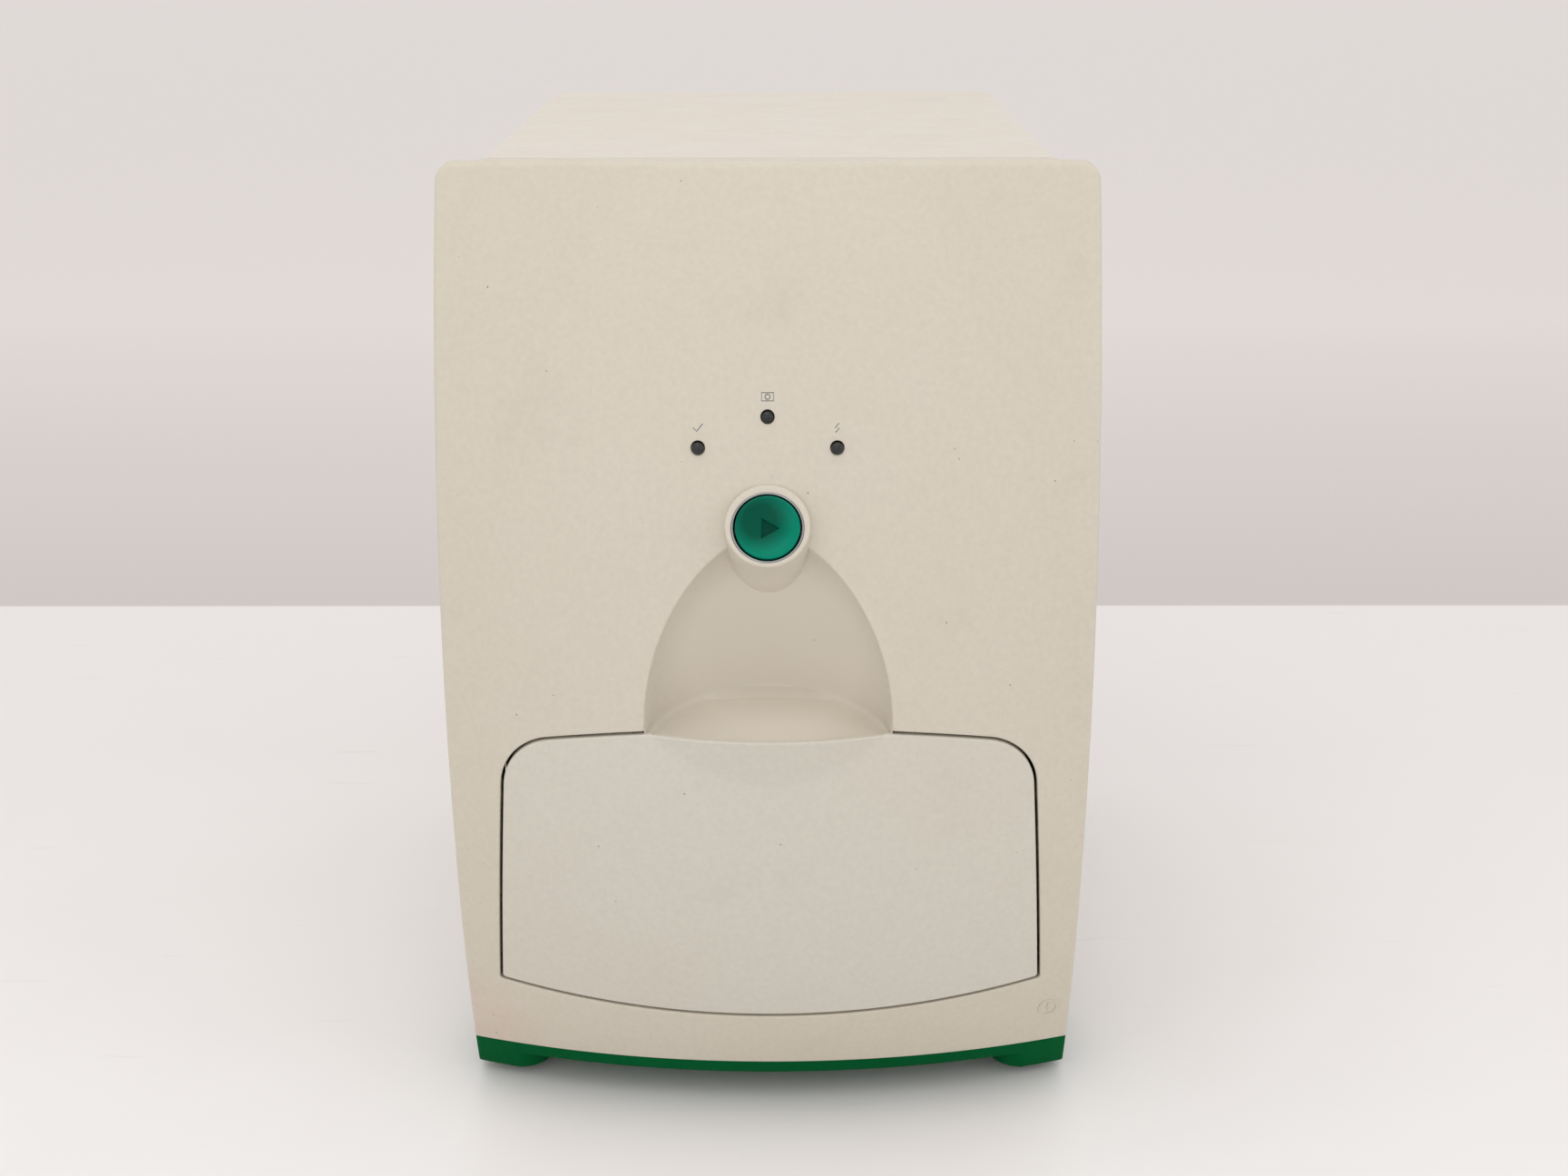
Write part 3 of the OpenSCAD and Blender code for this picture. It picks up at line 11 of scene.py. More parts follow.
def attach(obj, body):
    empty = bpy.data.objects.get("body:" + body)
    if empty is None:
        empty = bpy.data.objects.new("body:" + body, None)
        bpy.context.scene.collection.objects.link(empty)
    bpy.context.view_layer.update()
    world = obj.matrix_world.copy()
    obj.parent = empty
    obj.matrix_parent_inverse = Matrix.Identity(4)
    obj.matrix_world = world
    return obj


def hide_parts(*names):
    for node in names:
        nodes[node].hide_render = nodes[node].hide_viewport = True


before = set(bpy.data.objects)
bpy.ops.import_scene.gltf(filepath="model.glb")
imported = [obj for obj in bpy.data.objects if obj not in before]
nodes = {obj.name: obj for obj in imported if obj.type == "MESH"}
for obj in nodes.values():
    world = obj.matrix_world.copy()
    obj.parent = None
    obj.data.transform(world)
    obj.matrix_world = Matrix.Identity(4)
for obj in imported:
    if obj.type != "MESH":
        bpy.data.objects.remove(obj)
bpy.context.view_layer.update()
MM = 0.001

# ---------- Camera, stage and light ----------


def add_object(name, data):
    """A new object in the scene."""
    obj = bpy.data.objects.new(name, data)
    bpy.context.scene.collection.objects.link(obj)
    return obj


def make_camera():
    """The camera stands in front of the instrument, a little above its top."""
    data = bpy.data.cameras.new("camera")
    data.sensor_width = 36.0
    data.lens = 48.845
    data.clip_end = 60.0
    cam = add_object("camera", data)
    cam.location = (0.00834, -0.9615, 0.5017)
    cam.rotation_euler = (math.radians(71.77), math.radians(0.078), math.radians(0.1255))
    bpy.context.scene.camera = cam


def area_light(name, size, power, place, target, colour=(1, 1, 1)):
    """A rectangular lamp at a place, turned towards its target."""
    data = bpy.data.lights.new(name, "AREA")
    data.shape = "RECTANGLE"
    data.size, data.size_y = size
    data.energy = power
    data.color = colour
    lamp = add_object(name, data)
    lamp.location = place
    lamp.rotation_euler = (Vector(target) - Vector(place)).to_track_quat("-Z", "Y").to_euler()


class Graph:
    """A material's node tree, with short calls that add nodes and join them."""

    def __init__(self, name):
        self.mat = bpy.data.materials.new(name)
        self.mat.use_nodes = True
        self.tree = self.mat.node_tree
        self.shader = self.tree.nodes["Principled BSDF"]
        self.place = self.add("ShaderNodeTexCoord").outputs["Object"]

    def add(self, kind, **settings):
        node = self.tree.nodes.new(kind)
        for key, value in settings.items():
            setattr(node, key, value)
        return node

    def set(self, socket, value):
        """Gives a socket a plain value, a colour, or a link."""
        if isinstance(value, bpy.types.NodeSocket):
            self.tree.links.new(value, socket)
        elif isinstance(value, (tuple, list)) and len(value) == 3 and socket.type == "RGBA":
            socket.default_value = (*value, 1.0)
        else:
            socket.default_value = value

    def stretched(self, scale):
        """The object's coordinates scaled, so that a pattern is drawn out along an axis."""
        node = self.add("ShaderNodeMapping")
        self.set(node.inputs["Vector"], self.place)
        node.inputs["Scale"].default_value = scale
        return node.outputs["Vector"]

    def noise(self, scale, detail=2.0, rough=0.5, place=None):
        node = self.add("ShaderNodeTexNoise")
        self.set(node.inputs["Vector"], place or self.place)
        node.inputs["Scale"].default_value = scale
        node.inputs["Detail"].default_value = detail
        node.inputs["Roughness"].default_value = rough
        return node.outputs["Fac"]

    def cells(self, scale, place=None, output="Distance"):
        node = self.add("ShaderNodeTexVoronoi")
        self.set(node.inputs["Vector"], place or self.place)
        node.inputs["Scale"].default_value = scale
        return node.outputs[output]

    def ramp(self, value, *stops):
        """Grey stops as (position, value), or colour stops as (position, (r, g, b))."""
        node = self.add("ShaderNodeValToRGB")
        self.set(node.inputs["Fac"], value)
        band = node.color_ramp
        while len(band.elements) < len(stops):
            band.elements.new(0.5)
        for element, (position, colour) in zip(band.elements, stops):
            element.position = position
            element.color = (*colour, 1) if isinstance(colour, tuple) else (colour,) * 3 + (1,)
        return node.outputs["Color"]

    def mix(self, factor, a, b, blend="MIX"):
        node = self.add("ShaderNodeMix", data_type="RGBA", blend_type=blend)
        for socket, value in ((node.inputs[0], factor), (node.inputs[6], a), (node.inputs[7], b)):
            self.set(socket, value)
        return node.outputs[2]

    def math(self, operation, a, b):
        node = self.add("ShaderNodeMath", operation=operation)
        for socket, value in zip(node.inputs, (a, b)):
            self.set(socket, value)
        return node.outputs[0]

    def axis(self, letter):
        """One coordinate of the place, in metres."""
        node = self.add("ShaderNodeSeparateXYZ")
        self.set(node.inputs[0], self.place)
        return node.outputs[letter]

    def near(self, point, radius):
        """1 at a point in the part's frame, fading to 0 at the radius."""
        node = self.add("ShaderNodeVectorMath", operation="DISTANCE")
        self.set(node.inputs[0], self.place)
        node.inputs[1].default_value = point
        return self.ramp(self.math("DIVIDE", node.outputs["Value"], radius), (0.0, 1.0), (1.0, 0.0))

    def bump(self, *layers):
        """Each layer is (height, distance in metres, strength)."""
        normal = None
        for height, distance, strength in layers:
            node = self.add("ShaderNodeBump")
            self.set(node.inputs["Height"], height)
            node.inputs["Distance"].default_value = distance
            node.inputs["Strength"].default_value = strength
            if normal is not None:
                self.set(node.inputs["Normal"], normal)
            normal = node.outputs["Normal"]
        self.set(self.shader.inputs["Normal"], normal)

    def finish(self, **sockets):
        """Sets the shader's sockets by name, with _ for a space, and returns the material."""
        for key, value in sockets.items():
            self.set(self.shader.inputs[key.replace("_", " ")], value)
        return self.mat


def make_stage():
    """A pale table that ends some way behind the instrument, where a pale wall's colour begins. The table is
    painted lighter towards the front, painted light, and the wall darker near its foot, painted shade.
    """
    reach, steps = 14.0, 12
    table_edge = 0.518
    side = steps + 1
    grid = [(-reach + 2 * reach * i / steps, -reach + 2 * reach * j / steps, 0.0)
            for j in range(side) for i in range(side)]
    faces = [(j * side + i, j * side + i + 1, (j + 1) * side + i + 1, (j + 1) * side + i)
             for j in range(steps) for i in range(steps)]
    mesh = bpy.data.meshes.new("floor")
    mesh.from_pydata(grid, [], faces)
    floor = add_object("floor", mesh)
    g = Graph("pale_floor")
    depth = g.axis("Y")
    # The wall is painted darker near its foot: painted shade, fading up to its lit colour.
    wall_shaded_foot = (0.565, 0.525, 0.51)
    wall_high = (0.735, 0.69, 0.682)
    wall = g.ramp(g.math("DIVIDE", depth, 10.0), (0.05, wall_shaded_foot), (0.16, wall_high), (0.9, wall_high))
    smudge = g.ramp(g.noise(7.0, 4.0, 0.6), (0.42, 0.0), (0.72, 0.22))
    # Painted light: the table grows lighter and cooler towards the front.
    near = g.ramp(g.math("ADD", depth, 0.7), (0.1, 1.0), (0.95, 0.0))
    table = g.mix(near, (0.775, 0.748, 0.742), (0.875, 0.870, 0.880))
    table = g.mix(smudge, table, (0.75, 0.722, 0.715))
    scratch = g.noise(9.0, 3.0, 0.6, g.stretched((1.0, 14.0, 1.0)))
    table = g.mix(g.ramp(scratch, (0.68, 0.0), (0.70, 0.18)), table, (0.6, 0.58, 0.57))
    beyond = g.ramp(g.math("SUBTRACT", depth, table_edge), (0.0, 0.0), (0.002, 1.0))
    g.bump((g.noise(260.0, 2.0), 0.0002, 0.12))
    floor.data.materials.append(g.finish(Base_Color=g.mix(beyond, table, wall), Roughness=0.5))


def make_light():
    """Even light from a warm white world, with soft boxes above, in front and to the right."""
    world = bpy.data.worlds.new("studio")
    world.use_nodes = True
    back = world.node_tree.nodes["Background"]
    back.inputs["Color"].default_value = (1.0, 0.985, 0.97, 1)
    back.inputs["Strength"].default_value = 0.95
    bpy.context.scene.world = world
    bpy.context.scene.view_settings.view_transform = "Standard"
    area_light("top_softbox", (1.6, 1.2), 5.0, (-0.25, -0.45, 1.9), (0, -0.05, 0.1), (1.0, 0.985, 0.96))
    area_light("front_softbox", (1.4, 1.0), 3.0, (-0.8, -1.9, 1.1), (0, -0.15, 0.2), (1.0, 0.99, 0.975))
    area_light("right_softbox", (0.8, 0.8), 2.0, (1.6, -0.9, 0.9), (0, 0, 0.2))


# ---------- Surfaces of the moulded front, in millimetres ----------

# The belly's foremost point, and its radii seen from above and from the side.
BELLY_Y, BELLY_Z, PLAN_R, SIDE_R = -184.0, 178.0, 420.0, 447.0
# How far the frame lies behind the belly, its radius from the side and the height of that arc's middle.
FRAME_SET, FRAME_R, FRAME_Z = 18.0, 475.0, 200.0
# The drawer's pull: its top, half its width, its top edge's radius and foremost point, and where it starts.
LIP_Z, LIP_HALF, LIP_R, LIP_Y, FLARE_Z = 183.5, 46.0, 129.0, -190.0, 162.5
# The finger scoop: its radii from above and from the side, its widest height and its axis.
SCOOP_R, SCOOP_SIDE_R, SCOOP_Z, SCOOP_Y = 51.4, 113.3, 187.0, BELLY_Y - 12.0
# Its floor starts at this height, level with the belly's foremost point, and slopes up towards the back.
FLOOR_Z, FLOOR_SLOPE = 181.0, math.tan(math.radians(12.0))
# The bezel's half width, top, underside, corner radius and thickness.
RIM_X, TOP_Z, BASE_Z, RIM_CORNER, RIM_T = 130.0, 400.0, 21.5, 7.0, 6.0
# Half widths of the band behind the bezel and of the cover, the cover's top and thickness.
SKIRT_X, COVER_X, COVER_TOP, COVER_T = 120.0, 116.0, 399.0, 1.2
SEAM_Y, REAR_Y = -100.0, 190.0
WALL, GAP = 3.0, 1.2


def soft_min(a, b, k):
    """The smaller of a and b, rounded where they are within k of each other."""
    h = np.clip(0.5 + 0.5 * (b - a) / k, 0, 1)
    return b * (1 - h) + a * h - k * h * (1 - h)


def soft_max(a, b, k):
    """The larger of a and b, rounded the same way."""
    return -soft_min(-a, -b, k)


def smooth(x, low, high):
    """0 below low, 1 above high and an eased step between them."""
    t = np.clip((x - low) / (high - low), 0, 1)
    return t * t * (3 - 2 * t)


def belly(x, z, inside=0.0):
    """The front's swollen middle, or a surface that lies some way inside it."""
    plan = PLAN_R - SIDE_R + np.sqrt((SIDE_R - inside) ** 2 - (z - BELLY_Z) ** 2)
    return BELLY_Y + PLAN_R - np.sqrt(plan ** 2 - x ** 2)


def frame_edge(z, inside=0.0):
    """The frame round the belly: straight across, and gently bowed from top to bottom."""
    return BELLY_Y + FRAME_SET + FRAME_R - np.sqrt((FRAME_R - inside) ** 2 - (z - FRAME_Z) ** 2)


def front(x, z, inside=0.0):
    """The whole front without its hollows: belly or frame, whichever stands further out."""
    return soft_min(frame_edge(z, inside) + 0 * x, belly(x, z, inside), 0.25)


def scoop(x, z):
    """The back of the finger scoop's hollow: its round wall, and the floor that slopes up to it."""
    r = SCOOP_R - SCOOP_SIDE_R + np.sqrt(np.maximum(SCOOP_SIDE_R ** 2 - (z - SCOOP_Z) ** 2, 1.0))
    wall = SCOOP_Y + np.sqrt(np.maximum(np.maximum(r, 0) ** 2 - x ** 2, 0))
    floor = BELLY_Y + (z - FLOOR_Z) / FLOOR_SLOPE
    return soft_min(wall, floor, 6.0)


def bezel_depth(x, z):
    """The bezel's face, with the finger scoop sunk into it."""
    return soft_max(front(x, z), scoop(x, z), 0.9)


def lip(x, z):
    """The drawer's pull: part of a cone that widens upwards from the belly."""
    centre = LIP_Y + LIP_R
    low_r = centre - belly(0.0, FLARE_Z)
    r = low_r + (LIP_R - low_r) * (z - FLARE_Z) / (LIP_Z - FLARE_Z)
    return centre - np.sqrt(np.maximum(r * r - x * x, 1.0))


def drawer_depth(x, z):
    """The drawer's face: the belly, with the pull growing out of it."""
    return soft_min(belly(x, z), lip(x, z), 0.35)


# ---------- Outlines in x and z ----------


def arc(centre, r, a0, a1, step=1.0):
    """Points on an arc, angles in degrees, from a0 to a1."""
    n = max(2, int(abs(math.radians(a1 - a0)) * r / step) + 1)
    a = np.radians(np.linspace(a0, a1, n))
    return np.stack([centre[0] + r * np.cos(a), centre[1] + r * np.sin(a)], 1)


def line(a, b, step=1.0):
    """Points on a straight line from a to b."""
    n = max(2, int(math.dist(a, b) / step) + 1)
    return np.linspace(a, b, n)


def joined(*runs):
    """One polyline from several, without repeated points."""
    points = np.concatenate(runs)
    keep = np.ones(len(points), bool)
    keep[1:] = np.hypot(*(points[1:] - points[:-1]).T) > 1e-4
    return points[keep]


def mirrored(half):
    """A closed outline from its right half, which starts and ends on the middle plane."""
    left = half[::-1][1:-1] * [-1, 1]
    return np.concatenate([half, left])


def rim_outline():
    """The bezel seen from the front, with its two upper corners rounded."""
    c = RIM_X - RIM_CORNER
    half = joined(
        line((0, BASE_Z), (RIM_X, BASE_Z), 1.5),
        line((RIM_X, BASE_Z), (RIM_X, TOP_Z - RIM_CORNER), 1.5),
        arc((c, TOP_Z - RIM_CORNER), RIM_CORNER, 0, 90, 0.6),
        line((c, TOP_Z), (0, TOP_Z), 1.5),
    )
    return mirrored(half)


# The drawer's opening: its half width near the bottom, the ends of its middle line and its upper corners.
DRAWER_HALF, DRAWER_Z0, DRAWER_Z1, CORNER_R = 115.25, 48.75, 187.0, 24.0
# Its bowed bottom and top edges, and its sides, which lean inwards.
BOTTOM_R, TOP_R, SIDE_TAN = 600.0, 544.0, math.tan(math.radians(3.9))
TOP_C = DRAWER_Z1 - TOP_R
SIDE_X0 = DRAWER_HALF + SIDE_TAN * (DRAWER_Z0 + 10)


def corner_centre():
    """The middle of the opening's upper right corner, whose arc touches its side and its top edge."""
    reach = SIDE_X0 - CORNER_R / math.cos(math.atan(SIDE_TAN)) - SIDE_TAN * TOP_C
    radius = TOP_R - CORNER_R
    q = 1 + SIDE_TAN ** 2
    rise = (reach * SIDE_TAN + math.sqrt((reach * SIDE_TAN) ** 2 - q * (reach * reach - radius * radius))) / q
    return reach - SIDE_TAN * rise, rise


def drawer_outline(shrink, middle, corner=1.6):
    """The drawer opening shrunk by some millimetres. middle is its top edge, from the right arc in to x 0."""
    lean = math.degrees(math.atan(SIDE_TAN))
    side_x = SIDE_X0 - shrink / math.cos(math.radians(lean))
    bottom_c = DRAWER_Z0 + BOTTOM_R
    r = BOTTOM_R - shrink
    z = DRAWER_Z0
    for _ in range(30):
        x = side_x - SIDE_TAN * z
        z = bottom_c - math.sqrt(r * r - x * x)
    angle = -math.degrees(math.acos(x / r))
    bottom = arc((0, bottom_c), r, -90, angle - math.degrees(corner / r), 1.2)
    side_start = (side_x - SIDE_TAN * (z + corner), z + corner)
    bend = [(1 - t) ** 2 * bottom[-1] + 2 * t * (1 - t) * np.array((x, z)) + t * t * np.array(side_start)
            for t in np.linspace(0, 1, 7)]
    corner_x, rise = corner_centre()
    top_angle = math.degrees(math.atan2(rise, corner_x))
    upper = arc((corner_x, TOP_C + rise), CORNER_R - shrink, lean, top_angle, 0.9)
    end = math.degrees(math.acos(middle[0][0] / (TOP_R - shrink)))
    top = arc((0, TOP_C), TOP_R - shrink, top_angle, end, 1.2)
    side = line(side_start, upper[0], 1.2)
    return mirrored(joined(bottom, np.array(bend), side, upper, top, middle))


def opening_outline():
    """The bezel's opening: in the middle it drops to the front edge of the scoop's floor."""
    half = math.sqrt(SCOOP_R ** 2 - (belly(0.0, SCOOP_Z) + 3 - SCOOP_Y) ** 2)
    x = np.linspace(half, 0, 46)
    edge = np.maximum(belly(x, 183.0), drawer_depth(x, 183.0) + WALL + GAP)
    z = FLOOR_Z + FLOOR_SLOPE * (edge - BELLY_Y)
    arc_z = TOP_C + math.sqrt(TOP_R ** 2 - half ** 2)
    return drawer_outline(0.0, joined(line((half, arc_z), (half, z[0]), 0.5), np.stack([x, z], 1)))


def panel_outline():
    """The drawer front: its top edge runs straight across the lip."""
    x = np.linspace(LIP_HALF, 0, 44)
    return drawer_outline(GAP, np.stack([x, np.full(len(x), LIP_Z)], 1))


# ---------- Mesh helpers ----------


def inside(points, loop):
    """Which points lie inside a closed outline."""
    a, b = loop, np.roll(loop, -1, 0)
    result = np.zeros(len(points), bool)
    for start in range(0, len(points), 4000):
        x, z = points[start:start + 4000, 0:1], points[start:start + 4000, 1:2]
        spans = (a[:, 1] > z) != (b[:, 1] > z)
        rise = np.where(b[:, 1] == a[:, 1], 1e-12, b[:, 1] - a[:, 1])
        cross = a[:, 0] + (z - a[:, 1]) * (b[:, 0] - a[:, 0]) / rise
        result[start:start + 4000] = (spans & (x < cross)).sum(1) % 2 == 1
    return result


def distance(points, loop):
    """Distance from each point to a closed outline."""
    a, b = loop, np.roll(loop, -1, 0)
    d = b - a
    length = np.maximum((d ** 2).sum(1), 1e-12)
    result = np.empty(len(points))
    for start in range(0, len(points), 3000):
        p = points[start:start + 3000, None, :]
        t = np.clip(((p - a) * d).sum(2) / length, 0, 1)
        result[start:start + 3000] = np.sqrt((((p - a) - t[..., None] * d) ** 2).sum(2)).min(1)
    return result


def normals_of(loop):
    """Outward normals of a closed outline that runs anticlockwise."""
    d = np.roll(loop, -1, 0) - np.roll(loop, 1, 0)
    n = np.stack([d[:, 1], -d[:, 0]], 1)
    return n / np.maximum(np.linalg.norm(n, axis=1, keepdims=True), 1e-9)


def quarter_drop(d, r):
    """How far a rounded edge of radius r has dropped at distance d from its end."""
    t = np.clip(r - d, 0, r)
    return r - np.sqrt(np.maximum(r * r - t * t, 0))


class Sheet:
    """A surface y = depth(x, z) over an outline with holes, its edges rounded off towards +Y."""

    def __init__(self, loops, radii, depth, spacing, extra=None, fine=None):
        """loops are the outline and its holes. extra adds points, and fine is a box with its own spacing."""
        self.loops, self.radii, self.depth = loops, radii, depth
        filling = self.filling(spacing, extra, fine)
        points = np.concatenate([*loops, *self.edge_rows(), filling])
        edges, start = [], 0
        for loop in loops:
            n = len(loop)
            edges += [(start + k, start + (k + 1) % n) for k in range(n)]
            start += n
        made = geometry.delaunay_2d_cdt([Vector(p) for p in points], edges, [], 0, 1e-7)
        self.points = np.array([tuple(v) for v in made[0]])
        faces = np.array([f for f in made[2] if len(f) == 3])
        self.faces = faces[self.covers(self.points[faces].mean(1))]

    def covers(self, points):
        """Which points lie inside the outline and outside its holes."""
        result = inside(points, self.loops[0])
        for loop in self.loops[1:]:
            result &= ~inside(points, loop)
        return result

    def edge_rows(self):
        """Rows of points along every edge, close enough together to carry its rounding."""
        rows = []
        for i, loop in enumerate(self.loops):
            side = -1 if i == 0 else 1
            r = self.radii[i](loop) if callable(self.radii[i]) else self.radii[i]
            for turn in (18, 36, 54, 72, 90):
                reach = np.asarray(r * (1 - math.cos(math.radians(turn)))).reshape(-1, 1)
                rows.append(loop + side * reach * normals_of(loop))
            rows.append(loop + side * (np.asarray(r).reshape(-1, 1) + 0.5) * normals_of(loop))
        return rows

    def filling(self, spacing, extra, fine):
        """The points between the edges."""
        grid = self.grid(self.loops[0].min(0), self.loops[0].max(0), spacing)
        if fine:
            box_low, box_high, step = fine
            in_box = ((grid > box_low) & (grid < box_high)).all(1)
            grid = np.concatenate([grid[~in_box], self.grid(box_low, box_high, step)])
        if extra is not None:
            grid = np.concatenate([grid, extra])
        keep = self.covers(grid)
        for loop, radius in zip(self.loops, self.radii):
            r = 2.0 if callable(radius) else radius
            keep &= distance(grid, loop) > r + 1.0
        return grid[keep]

    @staticmethod
    def grid(low, high, step):
        """Points in rows, every other row moved by half a step."""
        x = np.arange(low[0], high[0], step)
        z = np.arange(low[1], high[1], step)
        gx, gz = np.meshgrid(x, z)
        gx[1::2] += step / 2
        return np.stack([gx.ravel(), gz.ravel()], 1)

    def lift(self, points):
        """The points with their depth, edge rounding included."""
        y = self.depth(points[:, 0], points[:, 1])
        for i, loop in enumerate(self.loops):
            r = self.radii[i](points) if callable(self.radii[i]) else self.radii[i]
            y = y + quarter_drop(distance(points, loop), r)
        return np.stack([points[:, 0], y, points[:, 1]], 1)

    def mesh(self):
        """The vertices and the faces, all turned to face -Y."""
        verts = self.lift(self.points)
        a, b, c = (verts[self.faces[:, k]] for k in range(3))
        flip = np.cross(b - a, c - a)[:, 1] > 0
        faces = self.faces.copy()
        faces[flip] = faces[flip][:, ::-1]
        return verts, faces

    def edge(self, i):
        return self.lift(self.loops[i])


def loft(rows, closed=True):
    """Quads between rows of equally many points."""
    n = len(rows[0])
    verts = np.concatenate(rows)
    faces = []
    for r in range(len(rows) - 1):
        for i in range(n if closed else n - 1):
            j = (i + 1) % n
            faces.append((r * n + i, r * n + j, (r + 1) * n + j, (r + 1) * n + i))
    return verts, faces


def together(*meshes):
    """Several (verts, faces) as one."""
    verts, faces, start = [], [], 0
    for v, f in meshes:
        verts.append(np.asarray(v, float))
        faces += [tuple(int(start + k) for k in face) for face in f]
        start += len(v)
    return np.concatenate(verts), faces


def make(name, shape, body, slot, sharp=42.0, recalc=False, material=None):
    """A new piece from (verts in millimetres, faces), welded, shaded and riding on its body.
    It has its slot's material unless it is given another."""
    verts, faces = shape
    mesh = bpy.data.meshes.new(name)
    mesh.from_pydata((np.asarray(verts) * MM).tolist(), [], [tuple(map(int, f)) for f in faces])
    bm = bmesh.new()
    bm.from_mesh(mesh)
    bmesh.ops.remove_doubles(bm, verts=bm.verts, dist=0.000004)
    if recalc:
        bmesh.ops.recalc_face_normals(bm, faces=bm.faces)
    bm.to_mesh(mesh)
    bm.free()
    mesh.shade_smooth()
    mesh.set_sharp_from_angle(angle=math.radians(sharp))
    obj = add_object(name, mesh)
    mesh.materials.append(material or MATERIALS[slot])
    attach(obj, body)
    return obj


def round_edges(obj, width, segments=2):
    """Rounds an object's sharp edges with modifiers, which leave its own mesh as it is."""
    weld = obj.modifiers.new("weld", "WELD")
    weld.merge_threshold = 0.000002
    bevel = obj.modifiers.new("bevel", "BEVEL")
    bevel.width = width * MM
    bevel.segments = segments
    bevel.limit_method = "ANGLE"
    bevel.angle_limit = math.radians(38)
    bevel.use_clamp_overlap = True
    weighted = obj.modifiers.new("normals", "WEIGHTED_NORMAL")
    weighted.keep_sharp = False


def lathe(profile, steps=96):
    """Points (r, s) turned about the local z axis."""
    a = np.linspace(0, 2 * math.pi, steps, endpoint=False)
    return loft([np.stack([r * np.cos(a), r * np.sin(a), np.full(steps, s)], 1) for r, s in profile])


def placed(shape, origin, tilt):
    """Local +Z turned to point out of the front, tilt degrees above the horizontal, at origin."""
    verts, faces = shape
    turn = np.array(Matrix.Rotation(math.radians(90 - tilt), 3, "X"))
    return np.asarray(verts) @ turn.T + np.asarray(origin, float), faces


# ---------- Materials ----------


def times(colour, by, plus=0.0):
    """The colour made darker or lighter."""
    return tuple(c * by + plus for c in colour)


def moulded(name, base, aged, rough, seed, stain=None, specks=1.0, grain=1.0, shade_lift=None):
    """Textured moulded plastic: slow yellowing, smudges, a few dark specks and a fine grain.
    stain is a place of another tint, as (point, radius, tint); the last argument is given the same way and is
    painted light: a lighter tint over a hollow that lifts its shade."""
    g = Graph(name)
    shift = g.add("ShaderNodeVectorMath", operation="ADD")
    g.set(shift.inputs[0], g.place)
    shift.inputs[1].default_value = (seed, seed * 0.7, -seed)
    place = shift.outputs[0]
    colour = g.mix(g.ramp(g.noise(5.0, 3.0, 0.55, place), (0.35, 0.0), (0.68, 1.0)), base, aged)
    mottle = g.ramp(g.noise(420.0, 3.0, 0.6, place), (0.3, 0.965), (0.7, 1.03))
    colour = g.mix(1.0, colour, mottle, "MULTIPLY")
    smudge = g.ramp(g.noise(24.0, 4.0, 0.62, place), (0.60, 0.0), (0.82, 0.30))
    colour = g.mix(smudge, colour, times(aged, 0.80))
    if stain:
        point, radius, tint = stain
        cloud = g.ramp(g.noise(60.0, 4.0), (0.35, 0.2), (0.6, 1.0))
        blotch = g.math("MULTIPLY", g.near(point, radius), cloud)
        colour = g.mix(g.math("MULTIPLY", blotch, 0.55), colour, tint)
    # Painted light: a lighter tint over the hollow, lifting the shade that falls in it.
    if shade_lift:
        point, radius, tint = shade_lift
        colour = g.mix(g.ramp(g.near(point, radius), (0.17, 0.0), (0.46, 1.0)), colour, tint)
    few = g.ramp(g.noise(55.0, 1.0, 0.5, place), (0.50, 0.0), (0.56, specks))
    dot = g.ramp(g.cells(95.0, place), (0.020, 1.0), (0.046, 0.0))
    colour = g.mix(g.math("MULTIPLY", g.math("MULTIPLY", dot, few), 0.75), colour, (0.10, 0.085, 0.07))
    scuff = g.ramp(g.noise(30.0, 5.0, 0.7, g.stretched((1.0, 1.0, 6.0))), (0.70, 0.0), (0.735, 0.12))
    colour = g.mix(scuff, colour, times(aged, 0.72))
    shine = g.ramp(g.noise(40.0, 4.0, 0.6, place), (0.3, rough - 0.05), (0.7, rough + 0.07))
    g.bump((g.cells(1500.0, place), 0.00005, 0.16 * grain),
           (g.noise(2600.0, 2.0, 0.6, place), 0.00005, 0.18 * grain))
    return g.finish(Base_Color=colour, Roughness=shine, IOR=1.5)


def glossy(name, base, deep, rough, scratch=0.2, specular=0.5):
    """Smooth coloured plastic with faint hairline scratches and dust."""
    g = Graph(name)
    colour = g.mix(g.ramp(g.noise(16.0, 4.0, 0.6), (0.3, 0.0), (0.75, 1.0)), base, deep)
    hair = g.ramp(g.noise(130.0, 3.0, 0.7, g.stretched((1.0, 1.0, 12.0))), (0.66, 0.0), (0.69, scratch))
    colour = g.mix(hair, colour, tuple(min(1.0, c * 1.5 + 0.08) for c in base))
    dust = g.ramp(g.cells(180.0), (0.02, 0.3), (0.04, 0.0))
    colour = g.mix(g.math("MULTIPLY", dust, g.noise(40.0)), colour, (0.5, 0.5, 0.48))
    shine = g.ramp(g.noise(70.0, 4.0, 0.65), (0.3, rough - 0.05), (0.75, rough + 0.10))
    g.bump((g.noise(900.0, 3.0), 0.00004, 0.10))
    return g.finish(Base_Color=colour, Roughness=shine, IOR=1.5, Specular_IOR_Level=specular)


